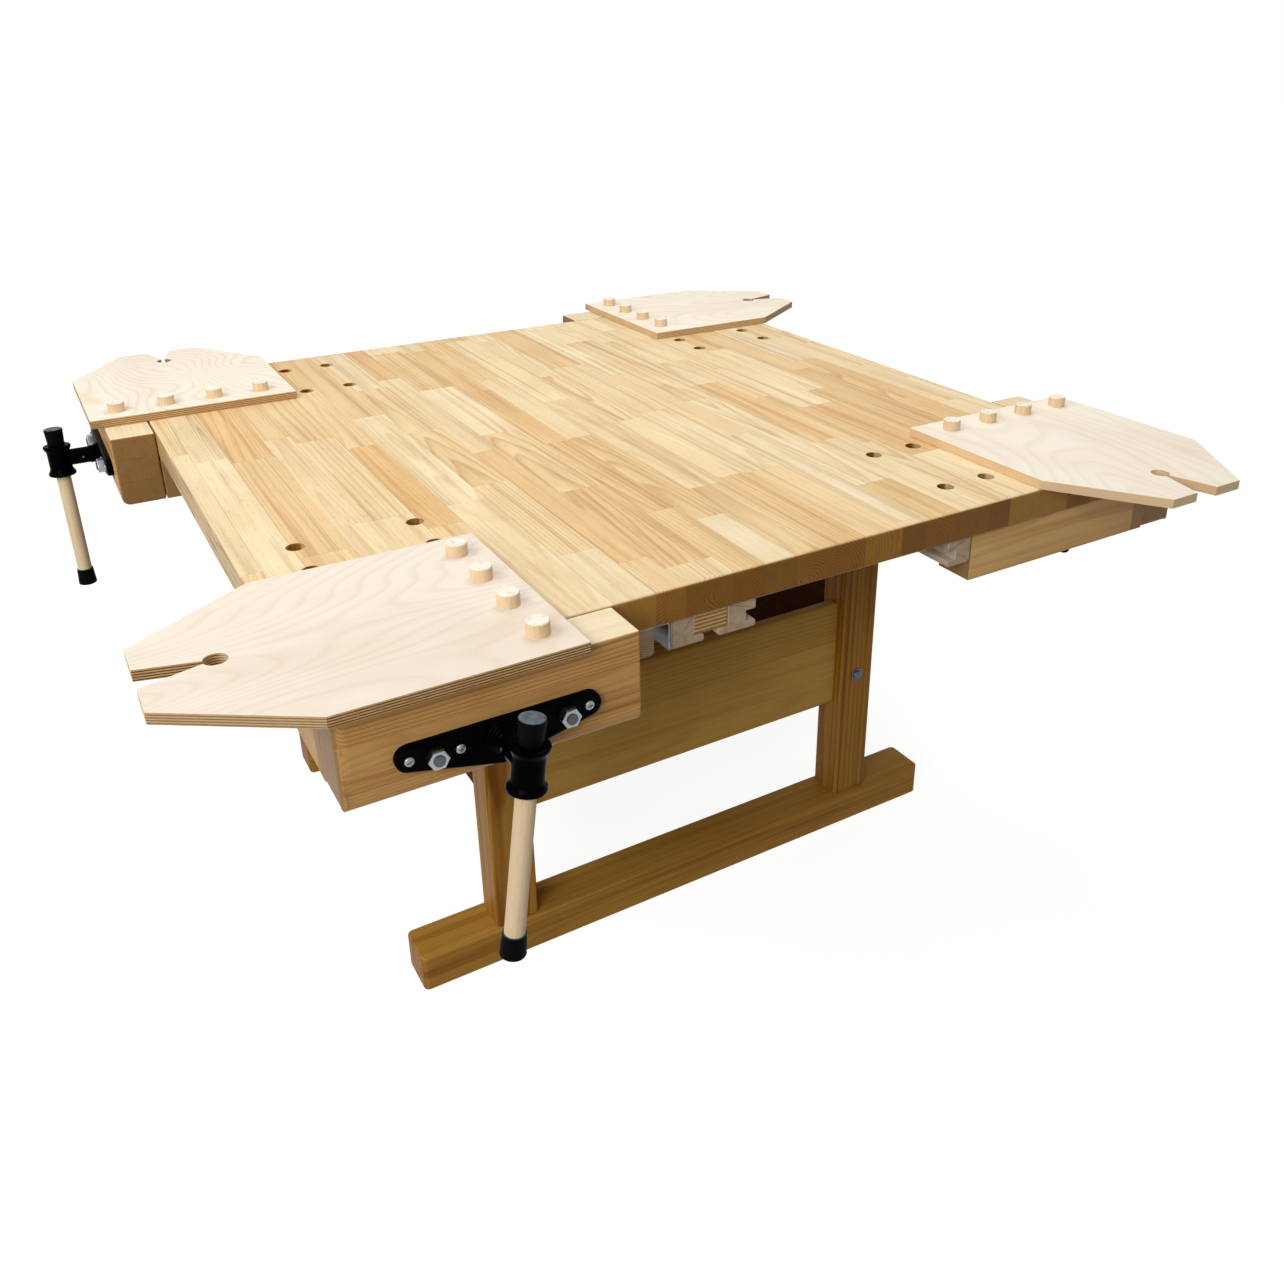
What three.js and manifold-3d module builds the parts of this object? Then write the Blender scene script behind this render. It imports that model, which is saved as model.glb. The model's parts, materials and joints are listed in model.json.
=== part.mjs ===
// Square workbench for four people: a glued stave top on two trestles, and at each corner a screw
// vise with twin guide rods and a plywood fretsaw board pegged into the dog holes.
// Millimetres, +Z up, origin on the floor under the middle of the top.
import * as THREE from "three";
import { mergeVertices } from "three/addons/utils/BufferGeometryUtils.js";
import Module from "manifold-3d";

const wasm = await Module();
wasm.setup();

// Fits
const SEAM = 0.25; // glue line or seat between two fixed pieces
const RUNNING = 0.3; // radial play of a rod, screw or peg in its bore
const SLIDING = 0.5; // radial play of the handle bar in its hub
const PAST = 1; // how far a cut runs past the face it opens

// Top and its dog holes
const TOP_SIDE = 1300;
const TOP_THICK = 46;
const TOP_HEIGHT = 735;
const TOP_CORNER = 9;
const TOP_ROUNDING = 5;
const DOG_DIAMETER = 24;
const DOG_PITCH = 80;
const DOG_ROWS = 5;
const DOG_FIRST_ROW = 38; // from the worker's edge
const DOG_FIRST_COLUMN = 81; // from the corner edge
const DOG_COLUMN_GAP = 160;

// Trestles
const FOOT_LENGTH = 980;
const FOOT_WIDTH = 74;
const FOOT_HEIGHT = 61;
const UPRIGHT_WIDTH = 70;
const UPRIGHT_DEPTH = 60;
const PANEL_THICK = 22;
const PANEL_HEIGHT = 196;
const PANEL_LIFT = 248; // underside of the panels and side rails above the floor
const SIDE_RAIL_THICK = 28;
const SIDE_RAIL_HEIGHT = 108;
const BEAM_CORNER = 5;
const BEAM_ROUNDING = 3;
const FOOT_NOSE = 9;

// Vise housing under the edge of the top
const VISE_SETBACK = 179; // screw axis from the corner edge
const HOUSING_HEIGHT = 72;
const AXIS_DROP = 26; // screw axis below the housing's upper face
const HOUSING_SPARE = 30; // cheeks beyond the tie bar of the guide rods
const FIXED_JAW_THICK = 25;
const BAY_MARGIN = 36; // from a guide rod's axis to the cheek beside it

// Moving jaw
const JAW_LENGTH = 344;
const JAW_THICK = 68;
const JAW_HEIGHT = 117.5;
const JAW_GAP = 1.5;
const JAW_DROP = 0.5; // below the surface of the top
const JAW_NOSE = 25;
const JAW_CORNER = 4;
const JAW_ROUNDING = 3;
const JAW_DOG_DEPTH = 50;

// Vise iron
const VISE_TRAVEL = 150;
const SCREW_DIAMETER = 22;
const SCREW_SPARE = 97;
const SPIGOT_DIAMETER = 16;
const SPIGOT_LENGTH = 20;
const COLLAR_DIAMETER = 34;
const COLLAR_THICK = 6;
const ROD_DIAMETER = 16;
const ROD_STUD_DIAMETER = 14;
const ROD_SPACING = 150;
const STUD_PROUD = 3;
const NUT_ACROSS = 24.5; // over the corners
const NUT_THICK = 11;
const TIE_THICK = 12;
const TIE_HEIGHT = 28;
const TIE_GAP = 8;
const BRACKET_BASE = 8;
const BRACKET_DEPTH = 48;
const BRACKET_HEIGHT = 44;
const NUT_BOSS_DIAMETER = 38;
const GUIDE_BOSS_DIAMETER = 28;
const PLATE_LENGTH = 234;
const PLATE_THICK = 10;
const PLATE_RISE = 18.5;
const PLATE_FALL = 36;
const PLATE_END_RADIUS = 15;
const PLATE_TIP_RADIUS = 22;
const PLATE_ROUNDING = 2.5;
const BOSS_DIAMETER = 40;
const BOSS_STEP = 5;
const BOSS_STEPS = 2;
const BOSS_LEDGE = 4; // each ring is this much smaller in radius

// Hub, handle and its caps
const HUB_REACH = 63; // handle axis in front of the plate
const HUB_LENGTH = 54;
const HUB_DROP = 2; // middle of the cross tube below the screw axis
const HUB_DIAMETER = 38;
const HUB_RIM_DIAMETER = 44;
const HUB_RIM = 6;
const HUB_FLARE = 6;
const NECK_DIAMETER = 28;
const HANDLE_DIAMETER = 23;
const HANDLE_LENGTH = 289; // over the caps
const CAP_LENGTH = 29;
const CAP_MOUTH_DIAMETER = 26.5;
const CAP_END_DIAMETER = 30;
const CAP_END_THICK = 6;
const CAP_ROUNDING = 2;

// Fretsaw boards
const BOARD_LENGTH = 428;
const BOARD_WIDTH = 340;
const BOARD_THICK = 14;
const BOARD_OVERHANG = 89; // beyond the worker's edge
const BOARD_SHOULDER = 281; // from the pegged end
const BOARD_END_MARGIN = 40; // from the peg column to the pegged end
const BOARD_NOSE_WIDTH = 143;
const NOTCH_MOUTH = 42;
const NOTCH_NECK = 6;
const NOTCH_HOLE = 26;
const NOTCH_HOLE_SETBACK = 79; // from the nose
const PEG_ROWS = 4; // the first stands over the moving jaw
const PEG_HEAD_DIAMETER = 27;
const PEG_HEIGHT = 16.5;
const PEG_DEPTH = 40;

// Storage rails under the top, side by side from the front vise's housing
const RAIL_SETBACK = 6; // behind the front edge
const RAIL_LENGTH = 440;
const RAIL_START = 4; // beside the front housing
const RAIL_END = 3; // beside the right housing
const RAIL_GAP = 2; // between the angle and the slide rail
const BLOCK_WIDTH = 56;
const BLOCK_DROP = 37;
const ANGLE_FLANGE = 79;
const ANGLE_WEB = 40;
const ANGLE_THICK = 3;
const RAIL_DROP = 40;
const RAIL_LIP = 14.5;
const RAIL_LIP_THICK = 9.5;
const RAIL_TOP_LIP_THICK = 15.5;
const LIP_ROUNDING = 3;
const SLIDE_RAIL_BODY = 32;
const SLIDE_BAR_WIDTH = 48;
const SLIDE_BAR_DROP = 2.5;
const SLIDE_BAR_HEIGHT = 26;
const SLIDE_BAR_SINK = 0.5; // glued into the side of the rail that carries it
const SLIDE_BAR_GAP = 2;
const STORE_RAIL_BODY = 27;

// Facets
const ROUND_SIDES = 12; // holes, pegs, handle and caps
const ROD_SIDES = 10; // guide rods and their bores
const TURNED_SIDES = 16; // screw, hub and boss
const ARC_STEPS = 1; // two facets to a quarter round
const END_ARC_STEPS = 2; // four facets to an end of the plate

// Stations in the order front, left, rear, right, and the lean of each handle at rest
const STATIONS = ["front", "left", "rear", "right"];
const QUARTER_TURN = -Math.PI / 2;
const HANDLE_LEAN = [8, -3, -5, -23].map(THREE.MathUtils.degToRad);

// Levels and places that follow from the sizes above
const half = TOP_SIDE / 2;
const underside = TOP_HEIGHT - TOP_THICK;
const housingTop = underside - SEAM;
const housingBottom = housingTop - HOUSING_HEIGHT;
const axisHeight = housingTop - AXIS_DROP;
const bayHalf = ROD_SPACING / 2 + BAY_MARGIN;
const jawHalf = JAW_LENGTH / 2;
const legOffset = half - VISE_SETBACK - (bayHalf + jawHalf) / 2;
const jawTop = TOP_HEIGHT - JAW_DROP;
const jawBottom = jawTop - JAW_HEIGHT;
const jawFront = -JAW_GAP - JAW_THICK;
const plateBack = jawFront - SEAM;
const plateFront = plateBack - PLATE_THICK;
const bossFront = plateFront - BOSS_STEP * BOSS_STEPS;
const hubFront = plateFront - HUB_REACH;
const neckBack = bossFront - SEAM;
const bracketFront = FIXED_JAW_THICK + SEAM;
const bracketBack = bracketFront + BRACKET_DEPTH;
const screwEnd = bracketBack + VISE_TRAVEL + SCREW_SPARE;
const tieFront = screwEnd + TIE_GAP;
const housingDepth = tieFront + TIE_THICK + HOUSING_SPARE;
const dogColumns = [DOG_FIRST_COLUMN, DOG_FIRST_COLUMN + DOG_COLUMN_GAP].map((d) => d - VISE_SETBACK);
const pegColumn = dogColumns[1];
const dogRow = (row) => DOG_FIRST_ROW + row * DOG_PITCH;

// Colours, roughness and metalness by material
const FINISHES = {
  beech: [0xd9b27c, 0.55, 0],
  trestle: [0xa9793f, 0.55, 0],
  birch: [0xecd3b2, 0.65, 0],
  cast: [0x141416, 0.45, 0.6],
  steel: [0xb9bcc0, 0.35, 0.9],
  rubber: [0x1a1b1f, 0.75, 0],
};

const bench = new THREE.Group();

// Adds one named piece with its own material to a group.
function piece(group, name, shape, finish) {
  const [color, roughness, metalness] = FINISHES[finish];
  const material = new THREE.MeshStandardMaterial({ color, roughness, metalness });
  const mesh = new THREE.Mesh(shape.isBufferGeometry ? shape : geometryOf(shape), material);
  mesh.name = name;
  group.add(mesh);
  return mesh;
}

// A closed geometry as a solid for joining and cutting.
function solid(geometry) {
  const bare = geometry.clone();
  bare.deleteAttribute("normal");
  bare.deleteAttribute("uv");
  const merged = mergeVertices(bare, 1e-4);
  const index = merged.index.array;
  const triangles = [];
  for (let i = 0; i < index.length; i += 3) {
    const [a, b, c] = index.slice(i, i + 3);
    if (a !== b && b !== c && c !== a) triangles.push(a, b, c);
  }
  const vertProperties = new Float32Array(merged.attributes.position.array);
  return new wasm.Manifold(
    new wasm.Mesh({ numProp: 3, vertProperties, triVerts: new Uint32Array(triangles) }),
  );
}

// A solid as flat-shaded geometry.
function geometryOf(shape) {
  const mesh = shape.getMesh();
  const indexed = new THREE.BufferGeometry();
  indexed.setAttribute("position", new THREE.BufferAttribute(mesh.vertProperties, mesh.numProp));
  indexed.setIndex(new THREE.BufferAttribute(mesh.triVerts, 1));
  const flat = indexed.toNonIndexed();
  flat.computeVertexNormals();
  return flat;
}

const join = (first, ...rest) => rest.reduce((sum, next) => sum.add(next), first);
const cut = (first, ...tools) => tools.reduce((left, tool) => left.subtract(tool), first);

// A box between two corners.
function box([x0, y0, z0], [x1, y1, z1]) {
  const geometry = new THREE.BoxGeometry(x1 - x0, y1 - y0, z1 - z0);
  return solid(geometry.translate((x0 + x1) / 2, (y0 + y1) / 2, (z0 + z1) / 2));
}

// A round bar along Y or Z between two stations of its axis.
function barY(diameter, y0, y1, x, z, sides = ROUND_SIDES) {
  const geometry = new THREE.CylinderGeometry(diameter / 2, diameter / 2, y1 - y0, sides);
  return solid(geometry.translate(x, (y0 + y1) / 2, z));
}

function barZ(diameter, z0, z1, x, y, sides = ROUND_SIDES) {
  const geometry = new THREE.CylinderGeometry(diameter / 2, diameter / 2, z1 - z0, sides);
  return solid(geometry.rotateX(Math.PI / 2).translate(x, y, (z0 + z1) / 2));
}

// A rectangle about the origin with its own radius at each corner.
function roundedRectangle(width, height, [lowerRight, upperRight, upperLeft, lowerLeft]) {
  const x = width / 2;
  const y = height / 2;
  const shape = new THREE.Shape();
  shape.absarc(x - lowerRight, -y + lowerRight, lowerRight, -Math.PI / 2, 0);
  shape.absarc(x - upperRight, y - upperRight, upperRight, 0, Math.PI / 2);
  shape.absarc(-x + upperLeft, y - upperLeft, upperLeft, Math.PI / 2, Math.PI);
  shape.absarc(-x + lowerLeft, -y + lowerLeft, lowerLeft, Math.PI, 1.5 * Math.PI);
  return shape;
}

// A shape extruded along Z from 0, with its end edges rounded inside the given length.
function extrude(shape, length, rounding = 0, steps = 2) {
  return new THREE.ExtrudeGeometry(shape, {
    depth: length - 2 * rounding,
    curveSegments: ARC_STEPS,
    bevelEnabled: rounding > 0,
    bevelThickness: rounding,
    bevelSize: rounding,
    bevelOffset: -rounding,
    bevelSegments: steps,
  }).translate(0, 0, rounding);
}

const X = new THREE.Vector3(1, 0, 0);
const Y = new THREE.Vector3(0, 1, 0);
const Z = new THREE.Vector3(0, 0, 1);
// A section drawn in (y, z) and run along +X, and one drawn in (x, z) and run along -Y.
const ALONG_X = new THREE.Matrix4().makeBasis(Y, Z, X);
const AGAINST_Y = new THREE.Matrix4().makeBasis(X, Z, Y.clone().negate());

// A squared timber with eased edges, centred in x and y and standing on z = 0.
function timber(width, depth, height) {
  const corner = new Array(4).fill(BEAM_CORNER);
  return extrude(roundedRectangle(width, depth, corner), height, BEAM_ROUNDING, 1);
}

// The top, with the dog holes of all four stations
function makeTop() {
  const outline = roundedRectangle(TOP_SIDE, TOP_SIDE, new Array(4).fill(TOP_CORNER));
  const slab = solid(extrude(outline, TOP_THICK, TOP_ROUNDING).translate(0, 0, underside));
  const holes = [];
  STATIONS.forEach((name, turn) => {
    for (const column of dogColumns) {
      for (let row = 0; row < DOG_ROWS; row++) {
        const place = new THREE.Vector3(column + VISE_SETBACK - half, dogRow(row) - half, 0);
        place.applyAxisAngle(Z, turn * QUARTER_TURN);
        holes.push(barZ(DOG_DIAMETER, underside - PAST, TOP_HEIGHT + PAST, place.x, place.y));
      }
    }
  });
  piece(bench, "bench_top", cut(slab, ...holes), "beech");
}

// One trestle: a foot beam, two uprights and the panel between them
function makeTrestle(end, side) {
  const trestle = new THREE.Group();
  trestle.position.y = side * legOffset;
  bench.add(trestle);

  const nose = new Array(4).fill(FOOT_NOSE);
  const footSection = roundedRectangle(FOOT_WIDTH, FOOT_HEIGHT, new Array(4).fill(BEAM_CORNER));
  const footBar = solid(
    extrude(footSection, FOOT_LENGTH, BEAM_ROUNDING).applyMatrix4(ALONG_X)
      .translate(-FOOT_LENGTH / 2, 0, FOOT_HEIGHT / 2),
  );
  const footPlan = roundedRectangle(FOOT_LENGTH, FOOT_WIDTH, nose);
  const foot = footBar.intersect(solid(extrude(footPlan, FOOT_HEIGHT)));
  piece(trestle, `${end}_foot`, foot, "trestle");

  const uprightBase = FOOT_HEIGHT + SEAM;
  const uprightTop = housingBottom - SEAM;
  for (const [hand, sign] of [["left", -1], ["right", 1]]) {
    const upright = piece(
      trestle,
      `${end}_${hand}_upright`,
      timber(UPRIGHT_WIDTH, UPRIGHT_DEPTH, uprightTop - uprightBase),
      "trestle",
    );
    upright.position.set(sign * legOffset, 0, uprightBase);
  }

  const panelLength = 2 * legOffset - UPRIGHT_WIDTH - 2 * SEAM;
  const panelSection = roundedRectangle(PANEL_THICK, PANEL_HEIGHT, new Array(4).fill(BEAM_CORNER));
  const panel = piece(
    trestle,
    `${end}_panel`,
    extrude(panelSection, panelLength).applyMatrix4(ALONG_X),
    "trestle",
  );
  panel.position.set(-panelLength / 2, 0, PANEL_LIFT + PANEL_HEIGHT / 2);
}

// The rails that tie the two trestles together, bolted through the uprights
function makeSideRails() {
  const length = 2 * legOffset - UPRIGHT_DEPTH - 2 * SEAM;
  const corner = new Array(4).fill(BEAM_CORNER);
  for (const [hand, sign] of [["left", -1], ["right", 1]]) {
    const section = roundedRectangle(SIDE_RAIL_THICK, SIDE_RAIL_HEIGHT, corner);
    const rail = piece(
      bench,
      `${hand}_side_rail`,
      extrude(section, length).applyMatrix4(AGAINST_Y),
      "trestle",
    );
    rail.position.set(sign * legOffset, length / 2, PANEL_LIFT + SIDE_RAIL_HEIGHT / 2);
  }
}

// The housing under the edge: a fixed jaw between two cheeks, bored for the screw and the rods
function makeHousing() {
  const plan = new THREE.Shape();
  plan.moveTo(-jawHalf, 0);
  plan.lineTo(jawHalf, 0);
  plan.lineTo(jawHalf, housingDepth);
  plan.lineTo(bayHalf, housingDepth);
  plan.lineTo(bayHalf, FIXED_JAW_THICK);
  plan.lineTo(-bayHalf, FIXED_JAW_THICK);
  plan.lineTo(-bayHalf, housingDepth);
  plan.lineTo(-jawHalf, housingDepth);
  const frame = solid(extrude(plan, HOUSING_HEIGHT).translate(0, 0, housingBottom));
  return cut(frame, ...viseBores(-PAST, FIXED_JAW_THICK + PAST));
}

// A bore along Y at the height of the screw, whose flats clear the round bar that turns in it.
function bore(diameter, y0, y1, x, sides) {
  const acrossFlats = diameter + 2 * RUNNING;
  return barY(acrossFlats / Math.cos(Math.PI / sides), y0, y1, x, axisHeight, sides);
}

// Clearance bores for the screw and both guide rods between two depths.
function viseBores(y0, y1) {
  const bores = [bore(SCREW_DIAMETER, y0, y1, 0, TURNED_SIDES)];
  for (const sign of [-1, 1]) {
    bores.push(bore(ROD_DIAMETER, y0, y1, sign * ROD_SPACING / 2, ROD_SIDES));
  }
  return bores;
}

// The cast bracket behind the fixed jaw: the screw's nut between two guide bosses
function makeBracket() {
  const spread = ROD_SPACING + GUIDE_BOSS_DIAMETER;
  const base = box(
    [-spread / 2, bracketFront, axisHeight - BRACKET_HEIGHT / 2],
    [spread / 2, bracketFront + BRACKET_BASE, axisHeight + BRACKET_HEIGHT / 2],
  );
  const bosses = [barY(NUT_BOSS_DIAMETER, bracketFront, bracketBack, 0, axisHeight)];
  for (const sign of [-1, 1]) {
    const x = sign * ROD_SPACING / 2;
    bosses.push(barY(GUIDE_BOSS_DIAMETER, bracketFront, bracketBack, x, axisHeight));
  }
  const rib = box(
    [-ROD_SPACING / 2, bracketFront, axisHeight - BRACKET_BASE / 2],
    [ROD_SPACING / 2, bracketFront + BRACKET_DEPTH / 2, axisHeight + BRACKET_BASE / 2],
  );
  return cut(join(base, rib, ...bosses), ...viseBores(bracketFront - PAST, bracketBack + PAST));
}

// The moving jaw, rounded low at the front, with a dog hole in line with each column in the top
function makeJaw() {
  const section = roundedRectangle(JAW_THICK, JAW_HEIGHT, [JAW_CORNER, JAW_CORNER, JAW_CORNER, JAW_NOSE]);
  const block = solid(
    extrude(section, JAW_LENGTH, JAW_ROUNDING, 1).applyMatrix4(ALONG_X)
      .translate(-jawHalf, jawFront + JAW_THICK / 2, jawBottom + JAW_HEIGHT / 2),
  );
  const collarEnd = jawFront + COLLAR_THICK + 2 * SEAM;
  const collarBore = bore(COLLAR_DIAMETER, jawFront - PAST, collarEnd, 0, TURNED_SIDES);
  const dogs = dogColumns.map((column) =>
    barZ(DOG_DIAMETER, jawTop - JAW_DOG_DEPTH, jawTop + PAST, column, dogRow(-1)),
  );
  return cut(block, collarBore, ...dogs, ...viseBores(jawFront - PAST, PAST));
}

// The front plate: a straight upper edge, round ends, a deeper middle and a stepped boss
function makePlate() {
  const endX = PLATE_LENGTH / 2 - PLATE_END_RADIUS;
  const endZ = PLATE_RISE - PLATE_END_RADIUS;
  const tipZ = -PLATE_FALL + PLATE_TIP_RADIUS;
  // The lower edge touches the end arc and the tip arc: its slope follows from both radii.
  const run = Math.hypot(endX, endZ - tipZ);
  const slope = Math.atan2(endZ - tipZ, endX) - Math.asin((PLATE_TIP_RADIUS - PLATE_END_RADIUS) / run);
  const down = -Math.PI / 2;
  const outline = new THREE.Shape();
  outline.absarc(0, tipZ, PLATE_TIP_RADIUS, down - slope, down + slope);
  outline.absarc(endX, endZ, PLATE_END_RADIUS, down + slope, Math.PI / 2);
  outline.absarc(-endX, endZ, PLATE_END_RADIUS, Math.PI / 2, 1.5 * Math.PI - slope);
  const sheet = new THREE.ExtrudeGeometry(outline, {
    depth: PLATE_THICK - PLATE_ROUNDING,
    curveSegments: END_ARC_STEPS,
    bevelEnabled: true,
    bevelThickness: PLATE_ROUNDING,
    bevelSize: PLATE_ROUNDING,
    bevelOffset: -PLATE_ROUNDING,
    bevelSegments: 2,
  }).applyMatrix4(AGAINST_Y).translate(0, plateBack, axisHeight);
  // The rounded back edge of the extrusion lies behind the seat and is cut away.
  const reach = PLATE_LENGTH;
  const behind = box([-reach, plateBack, axisHeight - reach], [reach, plateBack + reach, axisHeight + reach]);
  const rings = [];
  for (let step = 1; step <= BOSS_STEPS; step++) {
    const diameter = BOSS_DIAMETER - 2 * BOSS_LEDGE * (step - 1);
    rings.push(barY(diameter, plateFront - BOSS_STEP * step, plateBack, 0, axisHeight, TURNED_SIDES));
  }
  const bores = [bore(SCREW_DIAMETER, bossFront - PAST, plateBack + PAST, 0, TURNED_SIDES)];
  for (const sign of [-1, 1]) {
    const x = sign * ROD_SPACING / 2;
    bores.push(bore(ROD_STUD_DIAMETER, plateFront - PAST, plateBack + PAST, x, ROD_SIDES));
  }
  return cut(join(cut(solid(sheet), behind), ...rings), ...bores);
}

// Both guide rods with their nuts in front and the bar that ties their inner ends
function makeGuideFrame() {
  const nutBack = plateFront - SEAM;
  const nutFront = nutBack - NUT_THICK;
  const tieCorner = new Array(4).fill(TIE_HEIGHT / 4);
  const tieSection = roundedRectangle(ROD_SPACING + TIE_HEIGHT, TIE_HEIGHT, tieCorner);
  const tie = solid(
    extrude(tieSection, TIE_THICK).applyMatrix4(AGAINST_Y)
      .translate(0, tieFront + TIE_THICK, axisHeight),
  );
  const rods = [-1, 1].flatMap((sign) => {
    const x = sign * ROD_SPACING / 2;
    return [
      barY(ROD_DIAMETER, plateBack + SEAM, tieFront + TIE_THICK / 2, x, axisHeight, ROD_SIDES),
      barY(ROD_STUD_DIAMETER, nutFront - STUD_PROUD, plateBack + ROD_DIAMETER, x, axisHeight, ROD_SIDES),
      barY(NUT_ACROSS, nutFront, nutBack, x, axisHeight, 6),
    ];
  });
  return join(tie, ...rods);
}

// The lead screw, its thrust collar behind the plate and the spigot that the hub is pinned on
function makeScrew() {
  const collarFront = plateBack + SEAM;
  return join(
    barY(SCREW_DIAMETER, neckBack + SEAM, screwEnd, 0, axisHeight, TURNED_SIDES),
    barY(SPIGOT_DIAMETER, neckBack - SPIGOT_LENGTH, neckBack + SPIGOT_LENGTH, 0, axisHeight),
    barY(COLLAR_DIAMETER, collarFront, collarFront + COLLAR_THICK, 0, axisHeight, TURNED_SIDES),
  );
}

// A turned piece from its profile of [radius, height] points, about Z.
function turned(profile, sides) {
  const points = profile.map(([radius, height]) => new THREE.Vector2(radius, height));
  return solid(new THREE.LatheGeometry(points, sides).rotateX(Math.PI / 2));
}

// The T-shaped hub about the crossing of its two axes: a flared cross tube and the neck behind it
function makeHub() {
  const body = HUB_DIAMETER / 2;
  const rim = HUB_RIM_DIAMETER / 2;
  const end = HUB_LENGTH / 2;
  const shoulder = end - HUB_RIM;
  const tube = turned(
    [
      [0, -end],
      [rim, -end],
      [rim, -shoulder],
      [body, -shoulder + HUB_FLARE],
      [body, shoulder - HUB_FLARE],
      [rim, shoulder],
      [rim, end],
      [0, end],
    ],
    TURNED_SIDES,
  ).translate(0, 0, -HUB_DROP);
  const neckLength = neckBack - hubFront;
  const neck = barY(NECK_DIAMETER, 0, neckLength, 0, 0);
  const socket = barY(
    SPIGOT_DIAMETER + 2 * RUNNING,
    neckLength - SPIGOT_LENGTH - SEAM,
    neckLength + PAST,
    0,
    0,
  );
  const eye = barZ(HANDLE_DIAMETER + 2 * SLIDING, -end - HUB_DROP - PAST, end - HUB_DROP + PAST, 0, 0);
  return cut(join(tube, neck), eye, socket);
}

// A rubber cap that widens to its closed end, with its mouth at z = 0
function makeCap() {
  const mouth = CAP_MOUTH_DIAMETER / 2;
  const end = CAP_END_DIAMETER / 2;
  const inner = HANDLE_DIAMETER / 2 + RUNNING;
  const floor = CAP_LENGTH - CAP_END_THICK;
  return turned(
    [
      [0, floor],
      [inner, floor],
      [inner, 0],
      [mouth, 0],
      [end, CAP_LENGTH - CAP_ROUNDING],
      [end - CAP_ROUNDING, CAP_LENGTH],
      [0, CAP_LENGTH],
    ],
    ROUND_SIDES,
  );
}

// The hub with the handle bar dropped through it until the upper cap meets the hub
function makeHandle(group, name) {
  const upperMouth = HUB_LENGTH / 2 - HUB_DROP + SEAM;
  const top = upperMouth + CAP_LENGTH;
  const bottom = top - HANDLE_LENGTH;
  const capFloor = CAP_END_THICK + SEAM;
  piece(group, `${name}_vise_hub`, makeHub(), "cast");
  piece(
    group,
    `${name}_vise_handle`,
    barZ(HANDLE_DIAMETER, bottom + capFloor, top - capFloor, 0, 0),
    "birch",
  );
  const upper = piece(group, `${name}_vise_upper_cap`, makeCap(), "rubber");
  upper.position.z = upperMouth;
  const lower = piece(group, `${name}_vise_lower_cap`, makeCap(), "rubber");
  lower.rotation.x = Math.PI;
  lower.position.z = bottom + CAP_LENGTH;
}

// The fretsaw board: shoulders to a narrow nose, a V-notch that ends in a hole, and its pegs
function makeBoard() {
  const pegEnd = pegColumn + BOARD_END_MARGIN;
  const tip = pegEnd - BOARD_LENGTH;
  const shoulder = pegEnd - BOARD_SHOULDER;
  const near = -BOARD_OVERHANG;
  const far = near + BOARD_WIDTH;
  const middle = (near + far) / 2;
  const noseHalf = BOARD_NOSE_WIDTH / 2;
  const outline = new THREE.Shape();
  outline.moveTo(pegEnd, near);
  outline.lineTo(pegEnd, far);
  outline.lineTo(shoulder, far);
  outline.lineTo(tip, middle + noseHalf);
  outline.lineTo(tip, middle - noseHalf);
  outline.lineTo(shoulder, near);
  const sheet = solid(extrude(outline, BOARD_THICK).translate(0, 0, TOP_HEIGHT));

  const holeX = tip + NOTCH_HOLE_SETBACK;
  const mouthSlope = (NOTCH_MOUTH - NOTCH_NECK) / 2 / NOTCH_HOLE_SETBACK;
  const notch = new THREE.Shape();
  notch.moveTo(holeX, middle - NOTCH_NECK / 2);
  notch.lineTo(holeX, middle + NOTCH_NECK / 2);
  const mouthHalf = NOTCH_MOUTH / 2 + PAST * mouthSlope;
  notch.lineTo(tip - PAST, middle + mouthHalf);
  notch.lineTo(tip - PAST, middle - mouthHalf);
  const below = TOP_HEIGHT - PAST;
  const above = TOP_HEIGHT + BOARD_THICK + PAST;
  const slot = solid(extrude(notch, above - below).translate(0, 0, below));
  const hole = barZ(NOTCH_HOLE, below, above, holeX, middle, TURNED_SIDES);

  const pegs = [];
  const pegTop = TOP_HEIGHT + BOARD_THICK + PEG_HEIGHT;
  const shank = DOG_DIAMETER - 2 * RUNNING;
  for (let row = 0; row < PEG_ROWS; row++) {
    const y = dogRow(row - 1);
    const inBoard = TOP_HEIGHT + BOARD_THICK / 2;
    pegs.push(barZ(PEG_HEAD_DIAMETER, inBoard, pegTop, pegColumn, y));
    if (row > 0) pegs.push(barZ(shank, TOP_HEIGHT - PEG_DEPTH, inBoard + PAST, pegColumn, y));
  }
  return join(cut(sheet, slot, hole), ...pegs);
}

// One station, built about its screw axis at the worker's edge and turned to its side of the top
function makeStation(name, turn) {
  const side = new THREE.Group();
  side.rotation.z = turn * QUARTER_TURN;
  bench.add(side);
  const station = new THREE.Group();
  station.position.set(VISE_SETBACK - half, -half, 0);
  side.add(station);

  piece(station, `${name}_vise_housing`, makeHousing(), "beech");
  piece(station, `${name}_vise_nut_bracket`, makeBracket(), "cast");
  piece(station, `${name}_vise_jaw`, makeJaw(), "beech");
  piece(station, `${name}_vise_plate`, makePlate(), "cast");
  piece(station, `${name}_vise_guide_frame`, makeGuideFrame(), "steel");
  piece(station, `${name}_vise_screw`, makeScrew(), "steel");
  const board = piece(station, `${name}_fretsaw_board`, makeBoard(), "birch");
  board.position.z = SEAM;

  const handle = new THREE.Group();
  handle.position.set(0, hubFront, axisHeight);
  handle.rotation.y = HANDLE_LEAN[turn];
  station.add(handle);
  makeHandle(handle, name);
}

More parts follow.
